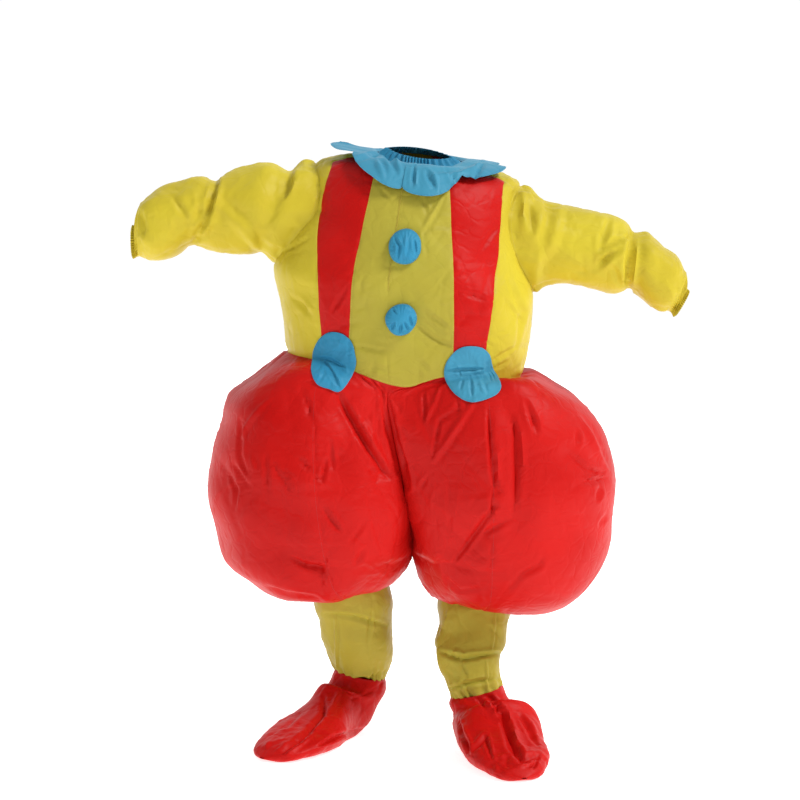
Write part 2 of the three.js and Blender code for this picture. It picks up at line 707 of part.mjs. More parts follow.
// Shoe covers. Each ring starts and turns as the ankle's ring does
function shoeGrid(ankle, rows, foot) {
  const heading = THREE.MathUtils.degToRad(foot.turn);
  const ahead = vector(-Math.sin(heading), -Math.cos(heading), 0);
  const across = vector(Math.cos(heading), -Math.sin(heading), 0);
  const base = vector(foot.x, foot.y, 0);
  const centre = ankle.slice(1).reduce((total, point) => total.add(point), vector(0, 0, 0))
    .divideScalar(ankle.length - 1);
  const angles = ankle.map((point) => {
    const spoke = point.clone().sub(centre);
    return Math.atan2(spoke.dot(ahead), spoke.dot(across));
  });
  const rings = rows.map((row) => {
    const lean = THREE.MathUtils.degToRad(row.lean);
    const middle = base.clone().addScaledVector(ahead, row.along).addScaledVector(across, row.side)
      .setZ(row.high);
    const second = ahead.clone().multiplyScalar(Math.cos(lean)).setZ(Math.sin(lean));
    return angles.map((angle) => {
      const point = middle.clone()
        .addScaledVector(across, row.wide * power(Math.cos(angle), FULLNESS))
        .addScaledVector(second, row.long * power(Math.sin(angle), FULLNESS));
      point.z = Math.max(point.z, 0);
      return point;
    });
  });
  const tip = base.clone().addScaledVector(ahead, foot.toeAlong).setZ(foot.toeHigh);
  return [ankle.map((point) => point.clone()), ...rings, ankle.map(() => tip.clone())];
}

// The inside of a shoe cover keeps the cloth's thickness above the floor as well
function shoeGeometry(grid, normals) {
  const ahead = grid.at(-1)[0].clone().sub(grid[0][0]).setZ(0).normalize();
  normals[normals.length - 1] = normals.at(-1).map(() => ahead);
  const inner = grid.map((row, i) => row.map((point, j) => {
    const moved = point.clone().addScaledVector(normals[i][j], -CLOTH);
    moved.z = Math.max(moved.z, i === 0 ? 0 : CLOTH);
    return moved;
  }));
  return shellGeometry(grid, inner, { loop: true, capped: true });
}

function buildLeg(leg, upper, lower, shankRows, shoeRows, foot) {
  const flip = leg === 'right';
  const turned = (grid) => (flip ? grid.map((row) => [...row].reverse()) : grid);
  const balloon = balloonGrid(leg, upper, lower);
  const surface = { grid: turned(creased(balloon, 'trouser', 1)) };
  surface.normals = normalsOf(surface.grid, false);
  surface.normals.slice(RISE.length).forEach((row) => {
    [row[0], row.at(-1)].forEach((normal) => normal.setY(0).normalize());
  });
  const counts = COLUMNS[leg];
  const names = ['front_inner', 'front_outer', 'back_outer', 'back_inner'];
  const total = sum(counts);
  let from = 0;
  names.forEach((name, index) => {
    const to = from + counts[index];
    const [start, end] = flip ? [total - to, total - from] : [from, to];
    addTrouserPanel(`trouser_${name}_${leg}`, surface, start, end);
    from = to;
  });
  const shank = shankGrid(leg, balloon.at(-1), shankRows);
  const shoe = shoeGrid(shank.at(-1), shoeRows, foot);
  const shankTurned = turned(shank.map((row) => row.map((point) => point.clone())));
  const shoeTurned = turned(shoe);
  const shankNormals = normalsOf(shankTurned, true);
  const shoeNormals = normalsOf(shoeTurned, true);
  shareNormals(shankNormals.at(-1), shoeNormals[0]);
  pullIn(shankTurned[0], shankTurned[1], SEAM_GAP / 2);
  pullIn(shankTurned.at(-1), shankTurned.at(-2), SEAM_GAP);
  pullIn(shoeTurned[0], shoeTurned[1], SEAM_GAP / 2);
  addPiece(`lower_leg_${leg}`, 'yellow', clothGeometry(shankTurned, shankNormals, { loop: true }));
  addPiece(`shoe_cover_${leg}`, 'red', shoeGeometry(shoeTurned, shoeNormals));
}

function addTrouserPanel(name, surface, start, end) {
  const last = surface.grid[0].length - 1;
  const grid = surface.grid.map((row) => row.slice(start, end + 1).map((point) => point.clone()));
  const normals = surface.normals.map((row) => row.slice(start, end + 1));
  const inseamFrom = RISE.length + 1;
  // The seam in the middle of a leg is pulled in whole. The inseam is pulled in under the crotch only
  const pullColumn = (column, beside, atCentre) => {
    const edge = columnOf(grid, column);
    const next = columnOf(grid, beside);
    const first = atCentre ? inseamFrom : 0;
    pullIn(edge.slice(first), next.slice(first), SEAM_GAP / 2);
  };
  pullColumn(0, 1, start === 0);
  pullColumn(end - start, end - start - 1, end === last);
  pullIn(grid[0], grid[1], SEAM_GAP / 2);
  pullIn(grid.at(-1), grid.at(-2), SEAM_GAP / 2);
  addPiece(name, 'red', clothGeometry(grid, normals));
}

// The neck's elastic casing rises from the bodice and gathers to the opening
function buildNeck() {
  const centre = vector(NECK.x, NECK.y, 0);
  const base = neckRow.map((point) => point.clone());
  const ringAt = (radius, rise, wave) => base.map((point, step) => {
    const spoke = point.clone().sub(centre).setZ(0).normalize();
    const ripple = step === base.length - 1 ? 0 : step;
    const distance = radius + (ripple % 2 ? wave : -wave);
    const frontRise = OPENING.frontRise * Math.max(0, -spoke.y) ** 2;
    return centre.clone().addScaledVector(spoke, distance).setZ(point.z + rise + frontRise);
  });
  const grid = [
    ringAt(OPENING.half, OPENING.rise, GATHER.neck),
    ringAt(OPENING.half + OPENING.flare, OPENING.rise - OPENING.flare, GATHER.neck),
    base,
  ];
  pullIn(grid[2], grid[1], SEAM_GAP);
  addPiece('neck_gather', 'sky', clothGeometry(grid, normalsOf(grid, true), { loop: true }));
}

// A line down the torso from the neck, at a column or half way between two
function meridian(column) {
  const low = Math.floor(column);
  const high = Math.ceil(column);
  const points = torsoGrid.map((row) => row[low].clone().lerp(row[high], column - low));
  const normals = torso.normals.map((row) => row[low].clone().lerp(row[high], column - low).normalize());
  return { points, normals };
}

function alongMeridian(line, distance) {
  let left = distance;
  for (let index = 0; index < line.points.length - 1; index += 1) {
    const length = line.points[index].distanceTo(line.points[index + 1]);
    if (left <= length) {
      const share = left / length;
      return {
        point: line.points[index].clone().lerp(line.points[index + 1], share),
        normal: line.normals[index].clone().lerp(line.normals[index + 1], share).normalize(),
      };
    }
    left -= length;
  }
  return { point: line.points.at(-1).clone(), normal: line.normals.at(-1).clone() };
}

// Petals are counted from the centre front. The first one is narrower than the others, which share the
// rest of the way round
function petalPlaceAt(step, half) {
  if (step <= COLLAR.firstPetal) return step / COLLAR.firstPetal;
  return 1 + ((step - COLLAR.firstPetal) / (half - COLLAR.firstPetal)) * (COLLAR.petals / 2 - 1);
}

// The collar lifts off the shoulders towards its edge
function collarPoint(column, petalPlace, share) {
  const scallop = Math.abs(Math.sin(petalPlace * Math.PI)) ** COLLAR.scallop;
  const facing = Math.max(0, 1 - petalPlace / 2) ** COLLAR.facing;
  const notch = between(COLLAR.notch, COLLAR.frontNotch, facing);
  const petal = between(COLLAR.petal, COLLAR.frontPetal, facing);
  const length = between(COLLAR.rim, between(notch, petal, scallop), share);
  const { point, normal } = alongMeridian(meridian(column), length);
  const wearerRight = THREE.MathUtils.clamp((COLLAR.tipFrom - point.x) / COLLAR.tipReach, 0, 1);
  const raised = COLLAR.lift * share ** COLLAR.liftCurve + COLLAR.tipLift * wearerRight * share ** 2;
  const lift = CLOTH + 2 * LIE_GAP + raised;
  return { point: point.addScaledVector(normal, lift), normal };
}

function buildCollar() {
  const around = neckRow.length - 1;
  const half = around / 2;
  ['left', 'right'].forEach((name) => {
    const way = name === 'left' ? 1 : -1;
    const columns = Array.from({ length: 2 * half + 1 }, (_, step) => step / 2);
    const grid = Array.from({ length: COLLAR.rows + 1 }, (_, rowIndex) => columns.map((step) => {
      const column = (zipColumn + way * step + around) % around;
      return collarPoint(column, petalPlaceAt(step, half), rowIndex / COLLAR.rows);
    }));
    const ordered = way > 0 ? grid : grid.map((row) => [...row].reverse());
    const turned = ordered.map((row) => row.map((place) => place.point));
    const normals = ordered.map((row) => row.map((place) => place.normal));
    pullIn(columnOf(turned, 0), columnOf(turned, 1), COLLAR.opening / 2);
    pullIn(columnOf(turned, columns.length - 1), columnOf(turned, columns.length - 2), COLLAR.opening / 2);
    addPiece(`collar_${name}`, 'sky', clothGeometry(turned, normals));
  });
}

// Finds the cloth that shows at a place, seen from the front with way 1 or the back with way -1
function clothAt(x, z, way) {
  const ray = new THREE.Raycaster(vector(x, -PATCH.clear * way, z), vector(0, way, 0));
  return ray.intersectObjects(pieces.children)[0].point.y;
}

// The foremost cloth within a short reach of a place, so that a flat facet clears the folds under it
function foremostAt(x, z, reach) {
  const steps = [[0, 0], [reach, 0], [-reach, 0], [0, reach], [0, -reach]];
  return Math.min(...steps.map(([across, up]) => clothAt(x + across, z + up, 1)));
}

function buildPatch(row, colour, edge) {
  const lay = (ring, step) => {
    const turn = (2 * Math.PI * step) / PATCH.steps;
    const share = ring / PATCH.rings;
    const x = row.x + row.wide * share * Math.cos(turn);
    const z = row.z + row.tall * share * Math.sin(turn);
    return vector(x, foremostAt(x, z, row.reach) - LIE_GAP, z);
  };
  const steps = Array.from({ length: PATCH.steps + 1 }, (_, step) => step % PATCH.steps);
  const rings = Array.from({ length: PATCH.rings + 1 }, (_, ring) => PATCH.rings - ring);
  const inner = rings.map((ring) => steps.map((step) => lay(ring, step)));
  const outer = inner.map((points, index) => {
    const share = rings[index] / PATCH.rings;
    const puff = edge + row.puff * Math.sqrt(Math.max(0, 1 - share ** 2));
    return points.map((point) => point.clone().add(vector(0, -puff, 0)));
  });
  return addPiece(row.name, colour, shellGeometry(outer, inner, { loop: true, capped: true }));
}

// The blower's intake, a round louvred cover on the back of the bodice
function buildBlower() {
  const profile = BLOWER_PROFILE.map((row) => new THREE.Vector2(row.radius, row.out));
  const cover = new THREE.LatheGeometry(profile, BLOWER.steps);
  const samples = Array.from({ length: BLOWER.spokes * BLOWER.spokeRings }, (_, step) => {
    const turn = (2 * Math.PI * step) / BLOWER.spokes;
    const spoke = (BLOWER.radius * (1 + Math.floor(step / BLOWER.spokes))) / BLOWER.spokeRings;
    return clothAt(BLOWER.x + spoke * Math.cos(turn), BLOWER.z + spoke * Math.sin(turn), -1);
  });
  cover.translate(BLOWER.x, Math.max(...samples) + SEAM_GAP, BLOWER.z);
  cover.deleteAttribute('normal');
  cover.deleteAttribute('uv');
  const loose = cover.toNonIndexed();
  addPiece('blower', 'black', closedGeometry([...loose.getAttribute('position').array]));
}

buildBodice();
buildSleeve('right', -1, SLEEVE_RIGHT, CUFF_RIGHT);
buildSleeve('left', 1, SLEEVE_LEFT, CUFF_LEFT);
buildLeg('right', BALLOON_RIGHT, BALLOON_RIGHT_LOW, SHANK_RIGHT, SHOE_RIGHT, FOOT_RIGHT);
buildLeg('left', BALLOON_LEFT, BALLOON_LEFT_LOW, SHANK_LEFT, SHOE_LEFT, FOOT_LEFT);
pieces.updateMatrixWorld(true);
BUTTONS.forEach((row) => buildPatch(row, 'sky', PATCH.buttonEdge));
DISCS.forEach((row) => buildPatch(row, 'sky', CLOTH));
buildBlower();
buildNeck();
buildCollar();

pieces.position.set(-NECK.x, -NECK.y, -NECK.z);
const costume = new THREE.Group();
costume.add(pieces);
export default costume;
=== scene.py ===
# Inflatable clown costume, full of air as it stands when it is worn, with nobody inside it.
# The garment's tables are in millimetres from the floor: +X is the wearer's left, -Y the front, +Z up.
# The last step of every piece moves it to the frame, whose origin is the neck opening, in metres.
import math

import bpy
import numpy as np
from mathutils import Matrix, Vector
from mathutils.bvhtree import BVHTree


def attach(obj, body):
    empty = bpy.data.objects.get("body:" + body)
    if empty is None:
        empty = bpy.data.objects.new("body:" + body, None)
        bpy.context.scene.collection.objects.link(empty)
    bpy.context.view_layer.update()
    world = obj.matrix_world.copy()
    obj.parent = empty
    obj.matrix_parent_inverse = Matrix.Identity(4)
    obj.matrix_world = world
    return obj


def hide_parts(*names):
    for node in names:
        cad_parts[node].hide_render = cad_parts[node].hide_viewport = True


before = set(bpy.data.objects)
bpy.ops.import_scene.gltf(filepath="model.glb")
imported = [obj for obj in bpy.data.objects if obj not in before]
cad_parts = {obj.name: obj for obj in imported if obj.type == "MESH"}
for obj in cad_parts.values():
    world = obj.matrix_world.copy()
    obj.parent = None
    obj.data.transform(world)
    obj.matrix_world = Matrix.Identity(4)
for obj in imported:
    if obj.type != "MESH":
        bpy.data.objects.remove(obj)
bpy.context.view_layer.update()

# Driving sizes
SHELL = 1.0            # thickness of the cloth that shows
GRID = 5.0             # space between two points along a panel
CUFF_GRID = 2.5
TILT = 0.11            # drop in height for each millimetre to the wearer's left
NECK = np.array([18.0, 0.0, 1310.0])
FULLNESS = 0.88
TORSO_FINE = 8         # points on the bodice for each step of its panels
LEG_FINE = 12
ARM_FINE = 6
SEAM_SINK = 1.2        # how far a seam lies below the cloth beside it
SHARP_ANGLE = 62       # edges sharper than this are shaded as edges, in degrees
CREASE_DEPTH = 1.6     # shares of the depths and widths in the table of creases
CREASE_WIDTH = 0.85
HIDDEN_DROP = 9        # how much lower the hidden side's creases lie, in pixels
BODICE_MIDDLE = 404.0  # the bodice's middle in the photograph, about which its creases are mirrored
MM = 0.001

# The photograph's camera, from the floor, and its picture's size in pixels
EYE = np.array([-25.0, -4800.0, 1200.0])
AIM = np.array([-25.0, 0.0, 764.0])
PICTURE = 800.0
FOCAL_PIXELS = 2150.0
SENSOR = 36.0


def table(columns, rows):
    values = np.array(rows, dtype=float)
    return {name: values[:, index] for index, name in enumerate(columns)}


# Bodice rings from the waist up, and where the seams cross them
TORSO = table(
    ("height", "middle", "half", "front", "back", "square", "dip", "rise"), [
        (845, -16, 259, 212, 205, 2.5, 36, 0),
        (868, -15, 264, 218, 209, 2.5, 22, 0),
        (905, -13, 272, 223, 213, 2.5, 6, 0),
        (960, -12, 280, 227, 216, 2.5, 0, 0),
        (1035, -15, 287, 224, 214, 2.5, 0, 0),
        (1068, -14, 275, 217, 209, 2.4, 0, 0),
        (1108, -10, 255, 207, 203, 2.4, 0, 0),
        (1155, 2, 237, 193, 191, 2.3, 0, 0),
        (1200, 6, 230, 177, 177, 2.3, 0, 0),
        (1238, 10, 229, 159, 161, 2.3, 0, 0),
        (1263, 14, 229, 142, 147, 2.2, 0, 0),
        (1279, 17, 219, 126, 133, 2.1, 4, 0),
        (1291, 18, 184, 111, 116, 2.0, 13, 4),
        (1299, 18, 140, 99, 101, 2.0, 24, 8),
        (1305, 18, 96, 88, 88, 2.0, 34, 12),
    ])
SEAMS = table(
    ("height", "strap_right_outer", "strap_right_inner", "zip", "strap_left_inner", "strap_left_outer"), [
        (845, -196, -136, -50, 92, 158),
        (900, -197, -135, -54, 91, 162),
        (1000, -202, -130, -52, 90, 173),
        (1060, -204, -122, -46, 89, 183),
        (1110, -203, -112, -39, 88, 189),
        (1160, -198, -102, -31, 86, 192),
        (1220, -189, -89, -22, 83, 196),
        (1279, -172, -76, -12, 80, 204),
    ])
# Panels in order round the bodice: name, the seam it ends at, face, steps, colour
BODICE_PANELS = [
    ("front_side_right", "strap_right_outer", "front", 5, "yellow"),
    ("front_strap_right", "strap_right_inner", "front", 3, "red"),
    ("front_centre_right", "zip", "front", 3, "yellow"),
    ("front_centre_left", "strap_left_inner", "front", 4, "yellow"),
    ("front_strap_left", "strap_left_outer", "front", 3, "red"),
    ("front_side_left", "side", "front", 5, "yellow"),
    ("back_side_left", "strap_left_outer", "back", 5, "yellow"),
    ("back_strap_left", "strap_left_inner", "back", 3, "red"),
    ("back_centre", "zip", "back", 4, "yellow"),
    ("back_centre", "strap_right_inner", "back", 3, "yellow"),
    ("back_strap_right", "strap_right_outer", "back", 3, "red"),
    ("back_side_right", "side", "back", 5, "yellow"),
]
BODICE_STOPS = (np.cumsum([0] + [panel[3] for panel in BODICE_PANELS]) * TORSO_FINE).tolist()
ZIP_COLUMN = 11
AROUND = 46
ARMHOLE = {"height": 1152, "tall": 116, "deep": 102, "steps": 18, "moved": 0.9}
ARM_COLUMNS = ("top_x", "top_z", "low_x", "low_z", "deep")
SLEEVES = {
    "right": table(ARM_COLUMNS, [
        (-243, 1297, -318, 1080, 106),
        (-268, 1276, -335, 1092, 95),
        (-308, 1292, -362, 1088, 99),
        (-360, 1286, -404, 1093, 94),
        (-408, 1273, -450, 1099, 86),
        (-437, 1254, -489, 1112, 80),
        (-466, 1263, -520, 1091, 82),
        (-511, 1252, -554, 1078, 84),
        (-565, 1236, -587, 1077, 74),
        (-601, 1205, -604, 1085, 56),
    ]),
    "left": table(ARM_COLUMNS, [
        (268, 1235, 279, 1008, 106),
        (290, 1213, 294, 1018, 96),
        (327, 1203, 321, 1024, 94),
        (378, 1193, 363, 1019, 88),
        (432, 1181, 413, 1009, 84),
        (475, 1162, 459, 1003, 78),
        (494, 1137, 487, 1012, 64),
        (527, 1139, 510, 990, 74),
        (565, 1110, 533, 970, 70),
        (598, 1082, 555, 961, 62),
        (613, 1050, 572, 964, 48),
    ]),
}
CUFFS = {
    "right": table(ARM_COLUMNS, [
        (-609, 1176, -609, 1085, 43),
        (-614, 1152, -614, 1084, 34),
        (-621, 1154, -620, 1081, 36),
    ]),
    "left": table(ARM_COLUMNS, [
        (614, 1030, 578, 963, 40),
        (614, 1014, 583, 959, 33),
        (620, 1008, 587, 951, 35),
    ]),
}

# Trousers: the centre seam, the outer side of each leg, and how each leg closes under the crotch
RISE = table(
    ("inner_z", "inner_x", "valley_front", "valley_back", "dip"), [
        (818, -52, 209, 200, 28),
        (784, -51, 206, 196, 18),
        (740, -45, 201, 192, 8),
        (686, -36, 195, 186, 2),
        (630, -25, 185, 176, 0),
        (575, -12, 167, 160, 0),
        (520, -4, 138, 134, 0),
        (472, 2, 96, 94, 0),
        (438, 4, 48, 48, 0),
        (424, 4, 0, 0, 0),
    ])
HIGH_COLUMNS = ("outer_x", "outer_z", "deep_x", "front", "back")
LOW_COLUMNS = ("inner_z", "inner_x", "outer_x", "outer_z", "deep_x", "front", "back")
BALLOONS = {
    "right": table(HIGH_COLUMNS, [
        (-312, 850, -231, 221, 212),
        (-360, 817, -240, 238, 226),
        (-400, 778, -244, 252, 240),
        (-424, 717, -247, 264, 252),
        (-443, 648, -248, 271, 258),
        (-456, 590, -246, 274, 260),
        (-451, 536, -241, 272, 258),
        (-440, 487, -234, 266, 252),
        (-427, 447, -227, 258, 245),
        (-415, 417, -221, 250, 238),
    ]),
    "left": table(HIGH_COLUMNS, [
        (288, 821, 205, 221, 212),
        (330, 800, 209, 238, 226),
        (370, 777, 211, 252, 240),
        (405, 736, 213, 264, 252),
        (434, 688, 214, 271, 258),
        (453, 628, 214, 274, 260),
        (458, 565, 213, 272, 258),
        (454, 505, 211, 266, 252),
        (445, 450, 210, 258, 245),
        (434, 413, 209, 250, 238),
    ]),
}
BALLOONS_LOW = {
    "right": table(LOW_COLUMNS, [
        (407, -2, -396, 390, -214, 240, 228),
        (387, -10, -370, 366, -205, 222, 212),
        (369, -21, -338, 343, -188, 196, 188),
        (357, -33, -299, 327, -174, 161, 156),
        (351, -43, -255, 324, -154, 120, 118),
        (349, -50, -214, 335, -132, 84, 82),
    ]),
    "left": table(LOW_COLUMNS, [
        (400, 9, 420, 380, 208, 240, 228),
        (370, 16, 398, 346, 205, 223, 213),
        (348, 28, 368, 318, 200, 198, 190),
        (332, 44, 325, 299, 188, 164, 158),
        (325, 56, 272, 293, 166, 122, 120),
        (322, 63, 225, 301, 144, 84, 82),
    ]),
}
SHANK_COLUMNS = ("inner_x", "inner_z", "outer_x", "outer_z", "centre_y", "deep")
SHANKS = {
    "right": table(SHANK_COLUMNS, [
        (-41, 306, -219, 297, 6, 86),
        (-44, 270, -210, 268, 14, 80),
        (-41, 222, -200, 222, 25, 76),
        (-42, 176, -189, 182, 38, 68),
        (-52, 140, -179, 156, 47, 58),
        (-60, 120, -171, 142, 50, 54),
    ]),
    "left": table(SHANK_COLUMNS, [
        (60, 292, 224, 282, -8, 84),
        (60, 258, 216, 250, -22, 79),
        (51, 212, 210, 218, -40, 76),
        (60, 182, 199, 200, -58, 66),
        (74, 140, 196, 158, -70, 60),
        (90, 108, 202, 134, -77, 56),
    ]),
}
SHOE_COLUMNS = ("along", "side", "high", "lean", "wide", "long")
SHOES = {
    "right": table(SHOE_COLUMNS, [
        (14, -4, 96, 14, 62, 62),
        (36, -8, 80, 28, 64, 66),
        (46, -12, 66, 46, 62, 72),
        (74, -14, 54, 66, 62, 70),
        (116, -10, 44, 82, 70, 56),
        (172, 2, 35, 90, 84, 41),
        (232, 10, 28, 90, 86, 31),
        (290, 12, 22, 92, 76, 24),
        (338, 8, 14, 92, 50, 15),
    ]),
    "left": table(SHOE_COLUMNS, [
        (8, 8, 93, 14, 67, 64),
        (32, 20, 80, 28, 74, 70),
        (54, 22, 66, 46, 88, 78),
        (90, 20, 54, 66, 96, 72),
        (132, 16, 44, 82, 96, 56),
        (180, 10, 35, 90, 94, 42),
        (232, 6, 28, 90, 88, 34),
        (284, 2, 22, 92, 74, 27),
        (324, 0, 15, 92, 50, 17),
    ]),
}
FEET = {
    "right": {"x": -113, "y": 50, "turn": 36, "toe_along": 362, "toe_high": 8},
    "left": {"x": 145, "y": -77, "turn": -15, "toe_along": 348, "toe_high": 9},
}

# Where the waist hangs lowest, and how wide its dip is to each side
BELLY = {"middle": -20, "to_right": 110, "to_left": 65, "top": 1000}

# The largest folds: cloth, face, the two ends in x and z, width and depth
FOLDS = [
    ("trouser", "front", -142, 774, -64, 632, 26, 12),
    ("trouser", "front", -84, 780, -40, 650, 24, 8),
    ("trouser", "front", -262, 455, -196, 415, 30, 9),
    ("trouser", "front", 214, 756, 222, 540, 28, 8),
    ("trouser", "front", 346, 668, 424, 604, 30, 12),
    ("trouser", "front", 150, 506, 92, 446, 28, 9),
    ("trouser", "back", 160, 796, 84, 620, 30, 11),
    ("trouser", "back", -120, 780, -70, 640, 26, 9),
    ("trouser", "back", -360, 660, -420, 600, 30, 11),
    ("bodice", "front", 12, 942, 92, 890, 26, 6),
    ("bodice", "front", 198, 1046, 236, 960, 28, 8),
    ("bodice", "front", -232, 1010, -262, 930, 26, 7),
    ("bodice", "back", -70, 960, 60, 915, 28, 6),
    ("bodice", "back", -205, 1060, -240, 970, 28, 8),
]

COLLAR = {
    "petals": 8, "first_petal": 4.5, "notch": 72, "petal": 80, "front_notch": 104, "front_petal": 122,
    "scallop": 0.55, "facing": 0.45, "rim": 0.6, "lift": 15, "lift_curve": 0.35, "tip_lift": 12,
    "tip_from": -62, "tip_reach": 90, "stand": 3.2, "nick": 13, "nick_wide": 0.09,
    "rows": 19, "wave": 5.0, "ruffle": 2.2, "bend": 2.0, "deepest": -6.5,
}
OPENING = {"half": 74, "rise": 13, "front_rise": 20}
PLEATS = {"neck": 54, "cuff": 42, "ankle": 17, "patch": 26}
# Soft waves of each cloth: how many, how high, the shortest and the longest
WAVES = {
    "bodice": (9, 2.4, 90, 220), "sleeve": (7, 2.6, 60, 150), "trouser": (9, 4.2, 110, 280),
    "lower_leg": (5, 1.8, 50, 120), "shoe_cover": (5, 2.4, 60, 150),
}
# Fine creases of each cloth: how many, how deep and how long
FINE_CREASES = {
    "bodice": (900, 1.9, 60.0), "sleeve": (420, 2.0, 55.0), "trouser": (620, 1.9, 85.0),
    "lower_leg": (240, 1.8, 45.0), "shoe_cover": (240, 2.0, 55.0),
}
# Puckers along each seam: how high, how long a wave is, and how far they reach
PUCKERS = {
    "bodice_seams": (3.4, 9.0, 16.0), "waist": (5.5, 13.0, 30.0), "armhole": (8.5, 15.0, 46.0),
    "wrist": (6.0, 12.0, 40.0), "trouser_seams": (5.0, 11.0, 22.0), "waistband": (8.0, 15.0, 52.0),
    "hem": (6.0, 14.0, 44.0), "lower_leg": (3.0, 12.0, 30.0), "instep": (3.0, 11.0, 30.0),
}
PLEAT_HEIGHT = {"neck": 2.6, "cuff": 2.6, "ankle": 2.8}
# Pieces that lie on the front: middle in x and z, seed, and how far they puff out
BUTTONS = {"button_upper": (-14, 1109, 35, 22), "button_lower": (-23, 954, 34, 22)}
DISCS = {"strap_disc_right": (-167, 866, 47, 4), "strap_disc_left": (124, 842, 61, 4)}

# Edges of the pieces that lie on the front, by their places in the photograph
OUTLINES = {
    "strap_disc_right": [
        (329, 332), (342, 333), (351, 340), (355, 353), (354, 371), (349, 380), (339, 391), (330, 387),
        (318, 383), (313, 374), (312, 360), (315, 346), (320, 338)],
    "strap_disc_left": [
        (473, 346), (483, 348), (490, 355), (492, 364), (494, 371), (499, 378), (501, 386), (497, 392),
        (488, 396), (479, 399), (469, 400), (458, 395), (449, 386), (444, 376), (445, 365), (451, 355),
        (461, 347)],
    "button_upper": [
        (400, 230), (410, 229), (418, 235), (421, 246), (418, 257), (411, 263), (402, 264), (393, 260),
        (389, 250), (390, 240), (395, 233)],
    "button_lower": [
        (400, 304), (409, 305), (415, 311), (417, 320), (413, 329), (405, 335), (395, 335), (388, 328),
        (385, 318), (388, 311), (394, 306)],
}

